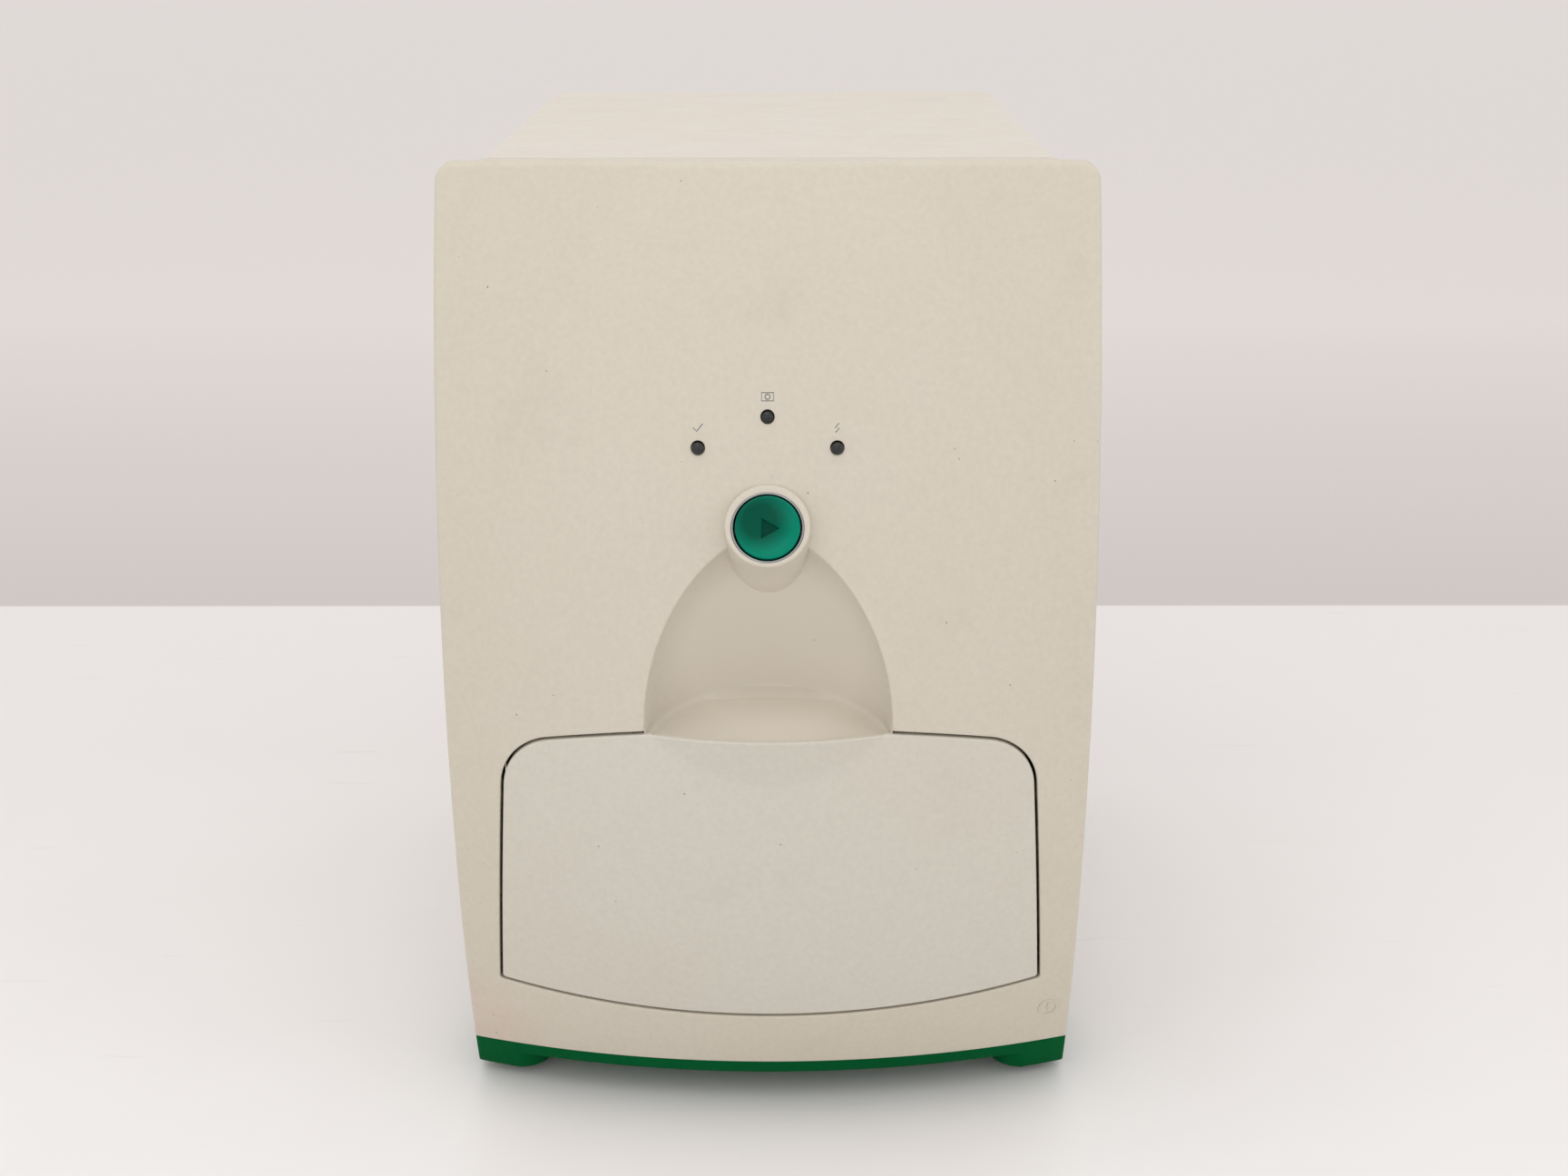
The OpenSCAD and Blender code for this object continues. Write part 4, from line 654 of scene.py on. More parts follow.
def cap_plastic(name, rim, hollow, centre):
    """The button's clear-coated plastic, with painted light and shade: a lit colour on the rim and painted
    shade in the dish, darkest towards its upper left.
    """
    g = Graph(name)
    # Painted shade: the dish darkens towards a point above and left of the middle, against the lit rim
    # colour.
    depth = g.ramp(g.near(centre, 0.0165), (0.20, 0.0), (0.62, 1.0))
    colour = g.mix(depth, rim, hollow)
    cloud = g.ramp(g.noise(30.0, 4.0, 0.6), (0.35, 0.0), (0.8, 0.35))
    colour = g.mix(cloud, colour, times(hollow, 0.86))
    dust = g.ramp(g.cells(260.0), (0.02, 0.16), (0.04, 0.0))
    colour = g.mix(g.math("MULTIPLY", dust, g.noise(40.0)), colour, (0.30, 0.36, 0.33))
    shine = g.ramp(g.noise(70.0, 4.0, 0.65), (0.3, 0.16), (0.75, 0.28))
    g.bump((g.noise(900.0, 3.0), 0.00003, 0.08))
    return g.finish(Base_Color=colour, Roughness=shine, IOR=1.5, Specular_IOR_Level=0.07)


def sheet_metal(name, base, rough, streak=(1.0, 1.0, 60.0)):
    """Plated sheet: brushed streaks, a spangle of crystals and handling marks."""
    g = Graph(name)
    spangle = g.cells(140.0, output="Color")
    grey = g.add("ShaderNodeRGBToBW")
    g.set(grey.inputs[0], spangle)
    colour = g.mix(g.ramp(grey.outputs[0], (0.2, 0.0), (0.8, 0.5)), base, times(base, 0.80))
    brushed = g.noise(60.0, 4.0, 0.7, g.stretched(streak))
    colour = g.mix(g.ramp(brushed, (0.3, 0.0), (0.8, 0.35)), colour, times(base, 0.7))
    marks = g.ramp(g.noise(30.0, 5.0, 0.65), (0.55, rough), (0.8, min(1.0, rough + 0.25)))
    g.bump((brushed, 0.00003, 0.25), (g.noise(500.0, 3.0), 0.00003, 0.12))
    return g.finish(Base_Color=colour, Roughness=marks, Metallic=1.0)


def coated(name, base, rough, grain=900.0, depth=0.0001):
    """Powder coat, rubber or foam: an even colour broken up by its grain and by dust."""
    g = Graph(name)
    cloud = g.ramp(g.noise(22.0, 4.0, 0.6), (0.35, 0.0), (0.75, 1.0))
    colour = g.mix(cloud, base, times(base, 1.35, 0.004))
    dust = g.ramp(g.noise(grain, 2.0), (0.55, 0.0), (0.75, 0.35))
    colour = g.mix(dust, colour, times(base, 1.8, 0.01))
    shine = g.ramp(g.noise(60.0, 4.0), (0.3, rough - 0.06), (0.7, rough + 0.06))
    g.bump((g.cells(grain), depth, 0.35), (g.noise(grain * 2.2, 2.0), depth, 0.25))
    return g.finish(Base_Color=colour, Roughness=shine)


def circuit_board(name):
    """Green solder mask over copper tracks, with pads at their ends."""
    g = Graph(name)
    brick = g.add("ShaderNodeTexBrick", offset=0.37, squash=1.6)
    turned = g.add("ShaderNodeMapping")
    g.set(turned.inputs["Vector"], g.place)
    turned.inputs["Rotation"].default_value = (math.radians(90), 0, 0)
    g.set(brick.inputs["Vector"], turned.outputs["Vector"])
    brick.inputs["Scale"].default_value = 62.0
    brick.inputs["Mortar Size"].default_value = 0.05
    track = brick.outputs["Fac"]
    base = g.mix(track, (0.006, 0.075, 0.030), (0.020, 0.150, 0.060))
    pad = g.ramp(g.cells(210.0), (0.16, 1.0), (0.19, 0.0))
    tinned = g.ramp(g.noise(30.0), (0.52, 0.0), (0.56, 1.0))
    colour = g.mix(g.math("MULTIPLY", pad, tinned), base, (0.55, 0.52, 0.42))
    g.bump((track, 0.00005, 0.4))
    return g.finish(Base_Color=colour, Roughness=g.ramp(g.noise(50.0), (0.3, 0.28), (0.7, 0.42)))


def glass(name, tint, rough=0.02):
    """Coated glass with a faint film of dust."""
    g = Graph(name)
    film = g.ramp(g.noise(30.0, 5.0, 0.65), (0.4, rough), (0.8, rough + 0.14))
    colour = g.mix(g.ramp(g.noise(9.0, 2.0), (0.3, 0.0), (0.7, 1.0)), tint, times(tint, 0.9))
    g.bump((g.noise(300.0, 2.0), 0.00001, 0.1))
    return g.finish(Base_Color=colour, Roughness=film, IOR=1.5, Transmission_Weight=0.9)


def glowing(name, base, rough):
    """Opal diffuser, lamp tube or white socket: a slightly cloudy white body."""
    g = Graph(name)
    cloud = g.mix(g.ramp(g.noise(45.0, 4.0), (0.3, 0.0), (0.7, 1.0)), base, times(base, 0.88))
    shine = g.ramp(g.noise(90.0), (0.3, rough), (0.7, rough + 0.1))
    g.bump((g.noise(700.0, 2.0), 0.00003, 0.1))
    return g.finish(Base_Color=cloud, Roughness=shine, IOR=1.5)


def print_ink(name, colour):
    """A thin printed line, slightly worn."""
    g = Graph(name)
    wear = g.ramp(g.noise(700.0, 3.0), (0.3, 0.0), (0.8, 0.6))
    shine = g.ramp(g.noise(90.0), (0.3, 0.42), (0.7, 0.55))
    g.bump((g.noise(1800.0, 2.0), 0.00003, 0.15))
    return g.finish(Base_Color=g.mix(wear, colour, times(colour, 1.6, 0.01)), Roughness=shine)


CREAM, CREAM_AGED = (0.612, 0.562, 0.478), (0.602, 0.548, 0.448)
GREY_CREAM, GREY_AGED = (0.612, 0.576, 0.506), (0.602, 0.562, 0.484)

# By slot: first those whose material has a name of its own, then those that share the slot's name.
MATERIALS = {
    # The cream shell's pinkish stain is real; its second place is painted light, a lighter tint over the
    # finger scoop that lifts the scoop's shade.
    "cream_shell": moulded("cream_plastic", CREAM, CREAM_AGED, 0.50, 0.0,
                           ((-0.128, -0.128, 0.036), 0.040, (0.62, 0.40, 0.36)),
                           shade_lift=((0.003, -0.147, 0.210), 0.068, (0.698, 0.645, 0.558))),
    "cover_paint": moulded("cream_paint", (0.645, 0.592, 0.526), (0.635, 0.580, 0.502), 0.46, 3.1, None,
                           0.6, 1.4),
    "drawer_shell": moulded("drawer_plastic", GREY_CREAM, GREY_AGED, 0.50, 7.3),
    "green_base": glossy("green_plastic", (0.0005, 0.100, 0.027), (0.0005, 0.082, 0.021), 0.42, 0.03, 0.02),
    "sheet_steel": sheet_metal("zinc_sheet", (0.56, 0.57, 0.58), 0.36),
}
LOOKS = {
    # The button: a lit rim colour, a shaded dish colour and the place where the painted shade is darkest.
    "button_plastic": (cap_plastic, (0.0, 0.215, 0.135), (0.0, 0.078, 0.046),
                       (-0.003, -0.1800, 0.2715)),
    "start_mark": (glossy, (0.0, 0.050, 0.032), (0.0, 0.042, 0.026), 0.34, 0.03, 0.05),
    "black_plastic": (coated, (0.018, 0.018, 0.019), 0.46, 1600.0, 0.00005),
    "foot_rubber": (coated, (0.020, 0.020, 0.020), 0.72),
    "seal_foam": (coated, (0.016, 0.016, 0.017), 0.90, 1300.0, 0.0003),
    "hood_black": (coated, (0.022, 0.022, 0.023), 0.66, 1100.0, 0.0001),
    "carrier_grey": (coated, (0.22, 0.22, 0.22), 0.50, 1200.0, 0.0001),
    "cast_ballast": (coated, (0.075, 0.072, 0.068), 0.62, 420.0, 0.0004),
    "rail_steel": (sheet_metal, (0.60, 0.60, 0.61), 0.28, (1.0, 0.02, 30.0)),
    "zinc_screws": (sheet_metal, (0.62, 0.62, 0.60), 0.24, (30.0, 1.0, 1.0)),
    "socket_steel": (sheet_metal, (0.62, 0.62, 0.63), 0.25),
    "bright_aluminium": (sheet_metal, (0.82, 0.83, 0.84), 0.16),
    "camera_alloy": (sheet_metal, (0.24, 0.25, 0.27), 0.42, (8.0, 8.0, 8.0)),
    "brass_posts": (sheet_metal, (0.65, 0.47, 0.20), 0.26, (1.0, 40.0, 1.0)),
    "collar_chrome": (sheet_metal, (0.34, 0.35, 0.36), 0.14, (20.0, 20.0, 20.0)),
    "circuit_board": (circuit_board,),
    "lamp_lens": (glossy, (0.006, 0.006, 0.007), (0.012, 0.012, 0.014), 0.10, 0.02),
    "lens_black": (glossy, (0.014, 0.014, 0.016), (0.020, 0.020, 0.022), 0.30),
    "filter_glass": (glass, (0.75, 0.16, 0.03)),
    "window_glass": (glass, (0.36, 0.30, 0.52)),
    "tube_glass": (glowing, (0.78, 0.80, 0.86), 0.14),
    "strip_diffuser": (glowing, (0.84, 0.84, 0.82), 0.38),
    "socket_white": (glowing, (0.78, 0.77, 0.74), 0.42),
    "grey_ink": (print_ink, (0.16, 0.16, 0.165)),
}
MATERIALS.update({name: surface(name, *look) for name, (surface, *look) in LOOKS.items()})


# ---------- The front bezel ----------

# The button's boss is tilted upwards, and its upper edge stands a little proud of the belly.
TILT, BOSS_R, BOSS_RISE, BORE_R = 32.0, 16.45, 0.9, 14.05
MOUTH_Z, MOUTH_PROUD = 269.0, 0.8
TOP_REACH = BOSS_R + BOSS_RISE
MOUTH_Y = (belly(0.0, MOUTH_Z + TOP_REACH * math.cos(math.radians(TILT)))
           - TOP_REACH * math.sin(math.radians(TILT)) - MOUTH_PROUD)
MOUTH = (0.0, MOUTH_Y, MOUTH_Z)
LAMPS, LAMP_R = ((-26.85, 296.8), (0.0, 308.4), (26.85, 296.8)), 2.7
# The wall round the drawer's opening: how far it reaches back, and its thickness.
RETURN_D, RETURN_T = 16.0, 1.5


def rim_radius(points):
    """The rim's edge is rounder at its sides and top than along the base."""
    return 0.7 + 1.1 * smooth(points[:, 1], BASE_Z, BASE_Z + 8)


def scoop_edge_rows():
    """Points on both sides of the scoop's edge, so that the mesh follows it."""
    a = np.radians(np.linspace(-6, 186, 300))
    ray = np.stack([np.cos(a), np.sin(a)], 1)
    centre = np.array((0.0, 190.0))
    low, high = np.zeros(len(a)), np.full(len(a), 95.0)
    for _ in range(40):
        middle = (low + high) / 2
        p = centre + ray * middle[:, None]
        hollow = scoop(p[:, 0], p[:, 1]) > front(p[:, 0], p[:, 1])
        low, high = np.where(hollow, middle, low), np.where(hollow, high, middle)
    rows = [centre + ray * (low + o)[:, None] for o in (-1.1, -0.7, -0.35, 0.0, 0.35, 0.7, 1.1)]
    return np.concatenate(rows)


def ridge_rows():
    """Points along the crease where the belly meets the frame."""
    z = np.arange(24.0, 398.0, 1.4)
    plan = PLAN_R - SIDE_R + np.sqrt(SIDE_R ** 2 - (z - BELLY_Z) ** 2)
    x = np.sqrt(np.maximum(plan ** 2 - (BELLY_Y + PLAN_R - frame_edge(z)) ** 2, 0.0))
    z, x = z[x < RIM_X - 3], x[x < RIM_X - 3]
    return np.concatenate([np.stack([side * (x + o), z], 1) for side in (-1, 1) for o in (-0.5, 0.0, 0.5)])


def button_frame(points):
    """The points measured from the button's mouth: distance from its axis, and along it."""
    axis = np.array((0.0, -math.cos(math.radians(TILT)), math.sin(math.radians(TILT))))
    d = points - np.array(MOUTH)
    along = d @ axis
    return np.linalg.norm(d - along[:, None] * axis, axis=1), along


def back_of_face(x, z):
    """The back of the bezel's face: it has the frame's bow, and lies further back behind the scoop."""
    return np.maximum(frame_edge(z, RIM_T), scoop(x, z) + WALL)


def moved_in(loop, amount, depth):
    """The outline moved inwards in x and z, at a given depth."""
    flat = loop - amount * normals_of(loop)
    y = depth(flat[:, 0], flat[:, 1]) if callable(depth) else np.full(len(flat), depth)
    return np.stack([flat[:, 0], y, flat[:, 1]], 1)


def make_bezel():
    """The bezel's face, its rim and back, the drawer opening's return and the lamps' holes."""
    rim, opening = rim_outline(), opening_outline()
    holes = [arc(p, LAMP_R, 0, 352.5, 0.35) for p in LAMPS]
    scoop_box = (np.array((-60.0, 180.0)), np.array((60.0, 292.0)), 1.0)
    face = Sheet([rim, opening, *holes], [rim_radius, 0.9, 0.3, 0.3, 0.3], bezel_depth, 2.0,
                 np.concatenate([scoop_edge_rows(), ridge_rows()]), scoop_box)
    verts, faces = face.mesh()
    reach, along = button_frame(verts[faces].mean(1))
    inside_boss = (reach <= 15.0) & (along <= 4) & (along >= -30)
    faces = faces[~inside_boss]
    outer, inner = face.edge(0), face.edge(1)
    back = Sheet([rim, opening + RETURN_T * normals_of(opening)], [0.0, 0.0], back_of_face, 5.0)
    back_verts, back_faces = back.mesh()
    round_back = moved_in(rim, 0.0, lambda x, z: back_of_face(x, z) - 0.7)
    side = loft([outer, round_back, moved_in(rim, 0.2, lambda x, z: back_of_face(x, z) - 0.2),
                 moved_in(rim, 0.7, back_of_face)])

    def wall_end(x, z):
        return np.minimum(back_of_face(x, z), front(x, z, RETURN_D - 0.5))

    wall_rows = [inner]
    for ease, out in ((0.4, 0.0), (0.0, -0.4), (0.0, 0.4 - RETURN_T), (0.4, -RETURN_T)):
        wall_rows.append(moved_in(opening, out, lambda x, z, e=ease: front(x, z, RETURN_D - e)))
    wall_rows.append(moved_in(opening, -RETURN_T, wall_end))
    tubes = []
    for i in range(len(LAMPS)):
        edge = face.edge(2 + i)
        tubes.append(loft([edge, edge + (0, 8.0, 0)]))
    shape = together((verts, faces), side, (back_verts, back_faces[:, ::-1]), loft(wall_rows), *tubes)
    make("bezel_face", shape, "housing", "cream_shell", sharp=50)


def arch(x, top, r, foot=BASE_Z, step=8.0, turns=5):
    """A band's section, up one side, round both upper corners and down the other."""
    right = joined(line((x, foot), (x, top - r), step), arc((x - r, top - r), r, 0, 90, r / turns),
                   line((x - r, top), (0, top), step))
    return np.concatenate([right, right[::-1][1:] * [-1, 1]])


def make_skirt():
    """The band behind the rim, round both sides and over the top, with its back edge eased."""
    outer = arch(SKIRT_X, COVER_TOP, 6.5, BASE_Z + 0.1, 4.0, 8)
    count = len(outer)
    run = np.gradient(outer, axis=0)
    out = np.stack([run[:, 1], -run[:, 0]], 1) / np.linalg.norm(run, axis=1, keepdims=True)

    def row(inset, dy):
        p = outer - inset * out
        return np.stack([p[:, 0], np.full(count, SEAM_Y + dy), p[:, 1]], 1)

    def front_end(inset):
        p = outer - inset * out
        return np.stack([p[:, 0], frame_edge(p[:, 1], RIM_T) - 1.5, p[:, 1]], 1)

    rows = [front_end(WALL), row(WALL, -0.3), row(WALL - 0.3, 0.0), row(0.7, 0.0), row(0.2, -0.2),
            row(0.0, -0.7), front_end(0.0)]
    make("bezel_skirt", loft(rows, closed=False), "housing", "cream_shell", recalc=True)


def make_boss():
    """The tilted boss: its side, its softened mouth and its bore. It widens a little towards the belly."""
    ease, widening = 0.9, 0.09
    profile = [(BOSS_R, -44.0), (BOSS_R, -20.0), (BOSS_R, -6.0), (BOSS_R, -ease)]
    for a in np.radians(range(15, 91, 15)):
        profile.append((BOSS_R - ease + ease * math.cos(a), -ease + ease * math.sin(a)))
    profile += [(BORE_R + 0.35, 0.0), (BORE_R + 0.1, -0.1), (BORE_R, -0.35), (BORE_R, -12.0), (4.4, -12.2)]
    points, faces = lathe(profile, 144)
    rise = BOSS_RISE * smooth(np.hypot(points[:, 0], points[:, 1]), BORE_R + 0.1, BORE_R + 0.6)
    points[:, 0] *= 1 + widening * smooth(-points[:, 2], ease, 22.0) * (rise > 0)
    points[:, 1] += rise
    make("button_boss", placed((points, faces), MOUTH, TILT), "housing", "cream_shell", sharp=50)


def ribbon(centre_line, half, depth, raised, closed):
    """A raised line of constant width that lies on a surface, from its middle line in x and z.
    Its section is given as shares of the half width and of the height; a negative one is buried."""
    line_points = np.asarray(centre_line, float)
    if closed:
        along = np.roll(line_points, -1, 0) - np.roll(line_points, 1, 0)
    else:
        along = np.gradient(line_points, axis=0)
    across = np.stack([along[:, 1], -along[:, 0]], 1)
    across /= np.linalg.norm(across, axis=1, keepdims=True)
    section = ((-1.0, -0.2), (-1.0, 0.7), (-0.6, 1.0), (0.6, 1.0), (1.0, 0.7), (1.0, -0.2))
    rows = []
    for share, lift in section:
        p = line_points + half * share * across
        height = raised * lift if lift > 0 else lift
        rows.append(np.stack([p[:, 0], depth(p[:, 0], p[:, 1]) - height, p[:, 1]], 1))
    verts, faces = loft(rows, closed=closed)
    if not closed:
        n = len(line_points)
        for end in (0, n - 1):
            faces.append(tuple(r * n + end for r in range(len(section))))
    return verts, faces


def make_power_mark():
    """The raised ring and bar beside the drawer, the usual mark for mains power."""
    centre = (120.0, 41.8)
    ring = ribbon(arc(centre, 3.95, 0, 353, 0.45), 0.38, front, 0.4, True)
    bar = ribbon(line((120.0, 39.7), (120.0, 43.9), 0.6), 0.38, front, 0.4, False)
    make("power_mark", together(ring, bar), "housing", "cream_shell", recalc=True)


def make_lamp_marks():
    """Small printed signs above the lamps: a tick, a framed lens and a zigzag."""
    left, middle, right = (np.array((x, z + 7.4)) for x, z in LAMPS)
    strokes = (
        (left + [(-1.7, 0.0), (-0.5, -1.3), (1.9, 1.6)], False),
        (arc(middle, 0.95, 0, 345, 0.3), True),
        (middle + [(-2.3, -1.5), (2.3, -1.5), (2.3, 1.5), (-2.3, 1.5)], True),
        (right + [(0.7, 1.7), (-0.9, 0.1), (0.9, -0.1), (-0.7, -1.7)], False),
    )
    shape = together(*[ribbon(stroke, 0.22, front, 0.04, closed) for stroke, closed in strokes])
    make("lamp_marks", shape, "housing", "cream_shell", recalc=True, material=MATERIALS["grey_ink"])


# ---------- The drawer front ----------

# Where the rim behind the face ends, and the carrier's face that the screw bosses rest on.
RIM_END, CARRIER_Y = -146.0, -163.0


def make_drawer_front():
    """The drawer's face with its pull, the rim behind it and the four screw bosses inside."""
    outline = panel_outline()
    edge_rows = outline[np.abs(outline[:, 0]) < LIP_HALF + 4]
    upper = edge_rows[edge_rows[:, 1] > 150]
    extra = np.concatenate([upper + (0, -d) for d in (1.6, 2.2, 3.0)])
    face = Sheet([outline], [0.9], drawer_depth, 2.0, extra)
    verts, faces = face.mesh()

    def back_depth(x, z):
        return drawer_depth(x, z) + WALL

    def rim_start(x, z):
        return belly(x, z) + 2.0

    back = Sheet([outline], [0.0], back_depth, 5.0)
    back_verts, back_faces = back.mesh()
    side = loft([face.edge(0), moved_in(outline, 0.0, back_depth)])
    rim_rows = [moved_in(outline, inset, depth) for inset, depth in (
        (0.15, rim_start), (0.15, RIM_END - 0.3), (0.45, RIM_END), (1.4, RIM_END), (1.6, RIM_END - 0.3),
        (1.6, rim_start))]
    rim_verts, rim_faces = loft(rim_rows)
    centre = np.array([rim_verts[list(f)].mean(0) for f in rim_faces])
    open_top = (np.abs(centre[:, 0]) < 55) & (centre[:, 2] > 177)
    rim_faces = [f for f, gone in zip(rim_faces, open_top) if not gone]
    bosses = []
    for x in (-66, 66):
        for z in (112, 140):
            v, boss_faces = lathe([(1.7, CARRIER_Y), (4.2, CARRIER_Y), (4.5, CARRIER_Y - 0.3),
                                   (4.5, belly(x, z) + 1.5)], 40)
            bosses.append((np.stack([v[:, 0] + x, v[:, 2], v[:, 1] + z], 1), boss_faces))
    shape = together((verts, faces), side, (back_verts, back_faces[:, ::-1]), (rim_verts, rim_faces), *bosses)
    make("drawer_panel", shape, "drawer", "drawer_shell", sharp=50)


# ---------- Cover and base ----------

# Heights of the deck's and a leg's outlines, each with how far it lies inside the full outline.
DECK_ROWS = ((14.5, 0.45), (14.62, 0.15), (14.9, 0.03), (20.4, 0.03), (20.9, 0.15), (21.2, 0.5))
LEG_ROWS = ((20.0, 0.0), (14.52, 0.0), (14.5, 0.0), (10.0, 0.0), (5.5, 0.0), (4.85, 0.2), (4.55, 0.6),
            (4.5, 1.1))
LEG_WIDTH, LEG_CORNER, LEG_TOP = 32.0, 13.0, 14.5
FRONT_LEG_END, REAR_LEG_START = -76.0, 144.0


def make_cover():
    """The bent sheet over the sides and top, with a folded bend along both upper edges."""
    outside = arch(COVER_X, COVER_TOP, 4.0)
    within = arch(COVER_X - COVER_T, COVER_TOP - COVER_T, 4.0 - COVER_T)
    middle = (outside + within) / 2
    front_y = SEAM_Y + 0.4
    ys = np.concatenate([[front_y], np.linspace(-99, 189.2, 40), [REAR_Y - 0.3]])

    def row(points, y):
        return np.stack([points[:, 0], np.full(len(points), y), points[:, 1]], 1)

    rows = [row(outside, y) for y in ys]
    rows += [row(middle * 0.25 + outside * 0.75, REAR_Y - 0.05), row(middle, REAR_Y)]
    rows += [row(within, REAR_Y - 0.3), row(within, front_y)]
    rows += [row(middle, front_y - 0.2), row(outside, front_y)]
    obj = make("cover_shell", loft(rows, closed=False), "housing", "cream_shell", sharp=50, recalc=True,
               material=MATERIALS["cover_paint"])
    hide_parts("enclosure_cover")


def front_row(z, inset, x1, n=60):
    """Points along the front at one height, from -x1 to x1."""
    x = np.linspace(-x1, x1, n)
    return np.stack([x, front(x, np.full(n, z), 0.8) + inset, np.full(n, z)], 1)


def deck_row(z, inset):
    """The deck's outline at one height, stepped in behind the bezel."""
    head = front_row(z, inset, RIM_X - inset - 0.6)
    corner = [(RIM_X - inset, head[-1][1] + 0.9, z), (RIM_X - inset, SEAM_Y - inset, z),
              (SKIRT_X - inset, SEAM_Y - inset, z), (SKIRT_X - inset, REAR_Y - 0.6 - inset, z),
              (SKIRT_X - 0.6 - inset, REAR_Y - inset, z)]
    mirror_side = [(-x, y, z) for x, y, z in corner[::-1]]
    return np.concatenate([head, corner, mirror_side])


def leg_row(x1, y0, y1, z, inset):
    """A right leg's outline at one height. Without a y0 it is a front leg, which follows the front."""
    x0, r = x1 - LEG_WIDTH, LEG_CORNER
    xs = np.linspace(x1 - inset - 0.6, x0 + r, 12)
    if y0 is None:
        ys = front(xs, np.full(len(xs), z), 0.8) + inset
    else:
        ys = np.full(len(xs), y0 + inset)
    cy = ys[-1] + r - inset
    points = [(x1 - inset, ys[0] + 0.6, z)]
    points += [(x, y, z) for x, y in zip(xs, ys)]
    for a in np.radians(range(9, 91, 9)):
        points.append((x0 + r - (r - inset) * math.sin(a), cy - (r - inset) * math.cos(a), z))
    return np.array(points + [(x0 + inset, y1 - inset, z), (x1 - inset, y1 - inset, z)])


def make_base():
    """The green base: its deck with softened edges, and four legs flush with its front."""
    def cap(row):
        return row, [tuple(range(len(row)))]

    deck = [deck_row(z, inset) for z, inset in DECK_ROWS]
    centre_top = deck[-1] * (0.86, 0.86, 1.0)
    parts = [loft(deck), loft([deck[-1], centre_top]), cap(centre_top), cap(deck[0])]
    for s in (-1, 1):
        for x1, y0, y1 in ((RIM_X, None, FRONT_LEG_END), (SKIRT_X, REAR_LEG_START, REAR_Y)):
            rows = []
            for z, inset in LEG_ROWS:
                end = SEAM_Y - 1.0 if y0 is None and z > LEG_TOP else y1
                rows.append(leg_row(x1, y0, end, z, inset) * (s, 1, 1))
            parts += [loft(rows), cap(rows[0]), cap(rows[-1])]
    obj = make("base_moulding", together(*parts), "housing", "green_base", sharp=40, recalc=True)
    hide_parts("base_plinth")


# ---------- The start button ----------

CAP_R, CAP_TOP, CAP_RIM = 12.5, 1.2, 1.75
# The dish's depth at its middle, twice its radius, and the triangle's depth below it.
DISH_D, DISH_2R, MARK_D = 2.0, 62.0, 0.72
MARK_CORNERS = np.radians((0, 120, 240))


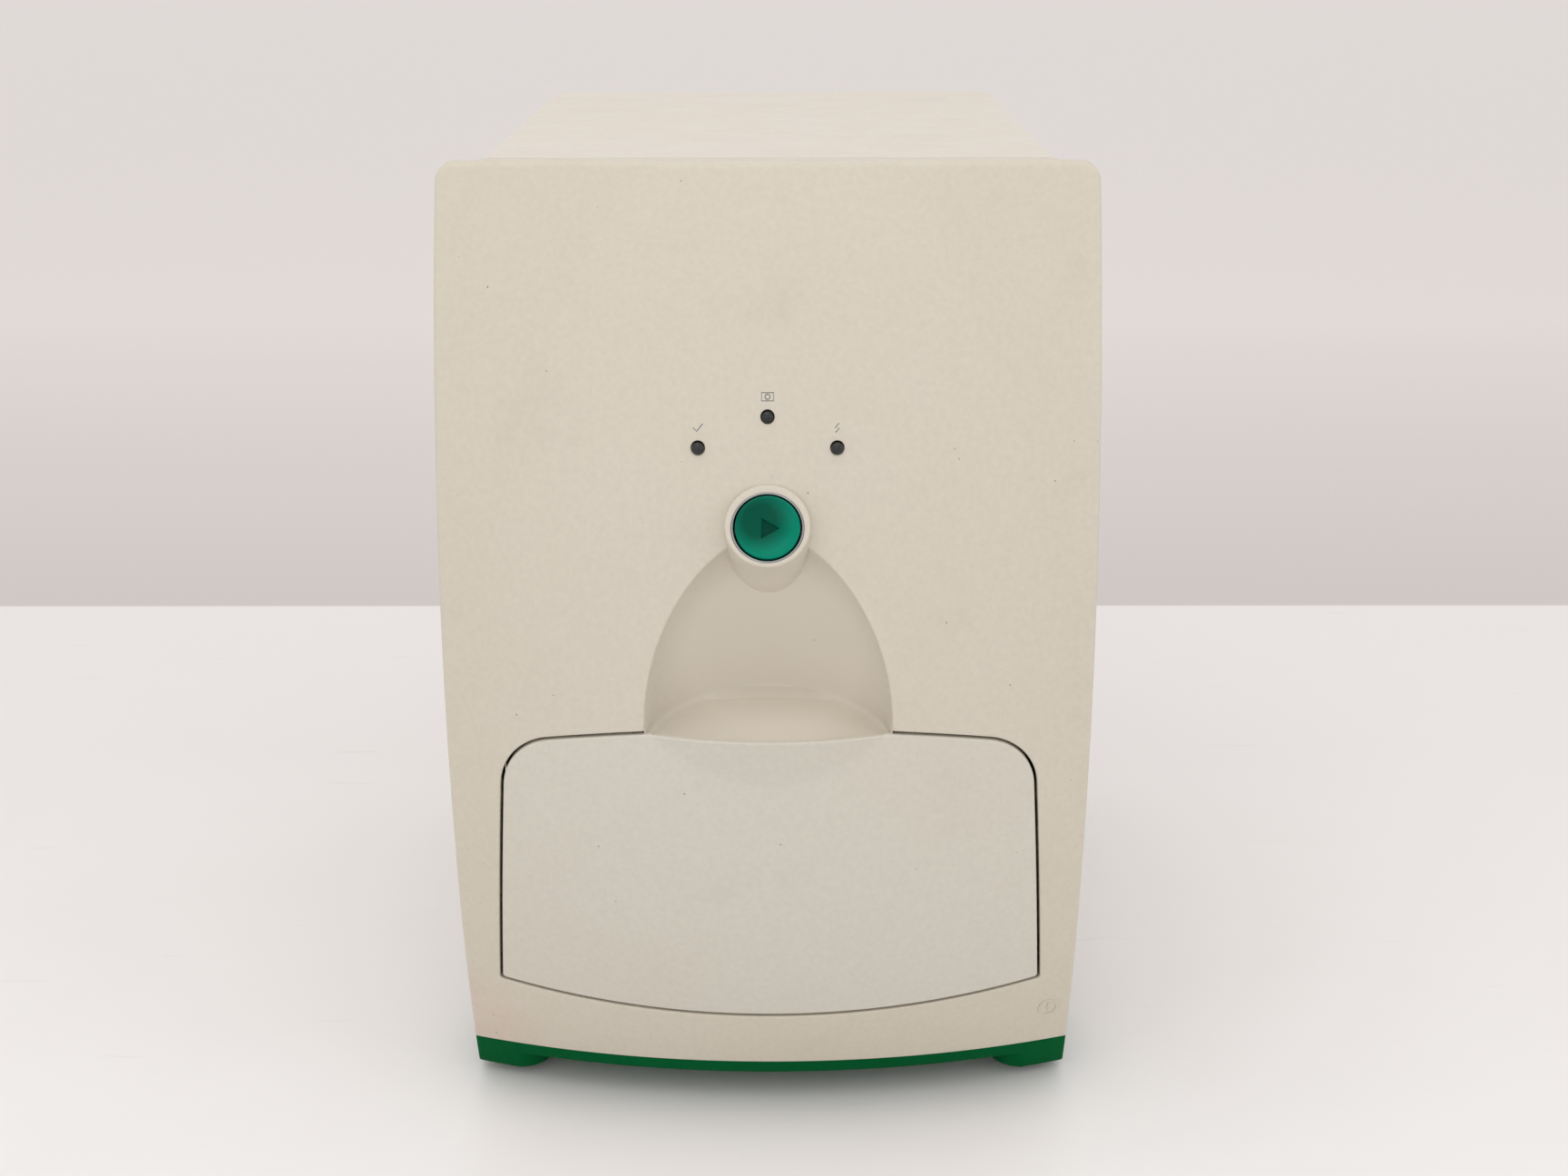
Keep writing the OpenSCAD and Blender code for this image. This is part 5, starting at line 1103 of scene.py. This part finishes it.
def make_button():
    """The cap: a rounded rim round a shallow dish, with a triangle sunk into it."""
    radii = np.concatenate([np.linspace(0.0, 6.0, 62), np.linspace(6.15, CAP_R - CAP_RIM - 0.6, 26),
                            np.linspace(CAP_R - CAP_RIM - 0.5, CAP_R - 0.02, 26)])
    steps = 240
    a = np.linspace(0, 2 * math.pi, steps, endpoint=False)
    rows = []
    for r in radii:
        x, y = r * np.cos(a), r * np.sin(a)
        hollow = CAP_TOP - DISH_D + r * r / DISH_2R
        ring = 1 - ((r - (CAP_R - CAP_RIM / 2)) / (CAP_RIM / 2)) ** 2
        crown = CAP_TOP - 0.35 + 0.35 * math.sqrt(max(ring, 0.0)) if r > CAP_R - CAP_RIM else -9.0
        h = np.full(steps, float(hollow))
        if r > CAP_R - CAP_RIM - 1.0:
            blend = smooth(np.array(r), CAP_R - CAP_RIM - 0.45, CAP_R - CAP_RIM + 0.25)
            h = h * (1 - blend) + max(crown, CAP_TOP - 0.4) * blend
        side = np.max([x * np.cos(c + math.pi) + y * np.sin(c + math.pi) for c in MARK_CORNERS], 0)
        sunk = 1 - smooth(side, 2.12, 2.42)
        rows.append(np.stack([x, y, h - MARK_D * sunk], 1))
    for r, z in ((CAP_R, CAP_TOP - 0.45), (CAP_R, -2.0), (CAP_R - 0.05, -7.4), (CAP_R - 0.4, -7.8),
                 (4.0, -7.8), (4.0, -31.5), (3.6, -31.5)):
        rows.append(np.stack([r * np.cos(a), r * np.sin(a), np.full(steps, z)], 1))
    obj = make("button_cap", placed(loft(rows), MOUTH, TILT), "button", "button_plastic", sharp=60)
    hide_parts("start_button")


def make_start_mark():
    """The sunken triangle's darker floor, as nested triangles that follow the dish."""
    rows = []
    for share in (1.0, 0.66, 0.33, 0.02):
        tip = [np.array((math.cos(c), math.sin(c))) * 4.25 * share for c in MARK_CORNERS]
        sides = []
        for i in range(3):
            start, end = tip[i], tip[(i + 1) % 3]
            if share > 0.5:
                sides.append(line(start, end, 0.3)[:-1])
            else:
                sides.append(start + (end - start) * np.linspace(0, 0.95, 20)[:, None])
        rows.append(np.concatenate(sides))
    count = min(len(e) for e in rows)
    flat = []
    for edge in rows:
        pick = edge[np.linspace(0, len(edge) - 1, count).astype(int)]
        z = CAP_TOP - DISH_D - MARK_D + 0.04 + (pick ** 2).sum(1) / DISH_2R
        flat.append(np.stack([pick[:, 0], pick[:, 1], z], 1))
    mark = make("start_mark", placed(loft(flat), MOUTH, TILT), "button", "button_plastic",
                material=MATERIALS["start_mark"])
    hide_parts("start_button")


# ---------- Putting it together ----------

SLOTS = {"rear_panel": "cover_paint"}
# Pieces that keep their own edges, and a count of points above which a piece is finely cut already.
PLAIN = {"rear_panel", "fan_guard", "fan_rotor", "light_seal", "lamp_tubes", "tray_window", "lamp_window",
         "emission_filter"}
DENSE = 12000


def dress_nodes():
    """Every CAD node takes its procedural material, and those that are neither in PLAIN nor finely cut
    already get softened edges.
    """
    for name, node in nodes.items():
        slot_name = SLOTS.get(name, node.material_slots[0].material.name.split(".")[0])
        node.material_slots[0].material = MATERIALS[slot_name]
        if name not in PLAIN and len(node.data.vertices) < DENSE:
            round_edges(node, 0.25)


make_camera()
make_light()
make_stage()
dress_nodes()
make_bezel()
make_skirt()
make_boss()
make_power_mark()
make_lamp_marks()
make_drawer_front()
make_cover()
make_base()
make_button()
make_start_mark()
for part in ("bezel_face", "bezel_skirt", "button_boss", "power_mark"):
    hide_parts("front_bezel")
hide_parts("drawer_front")
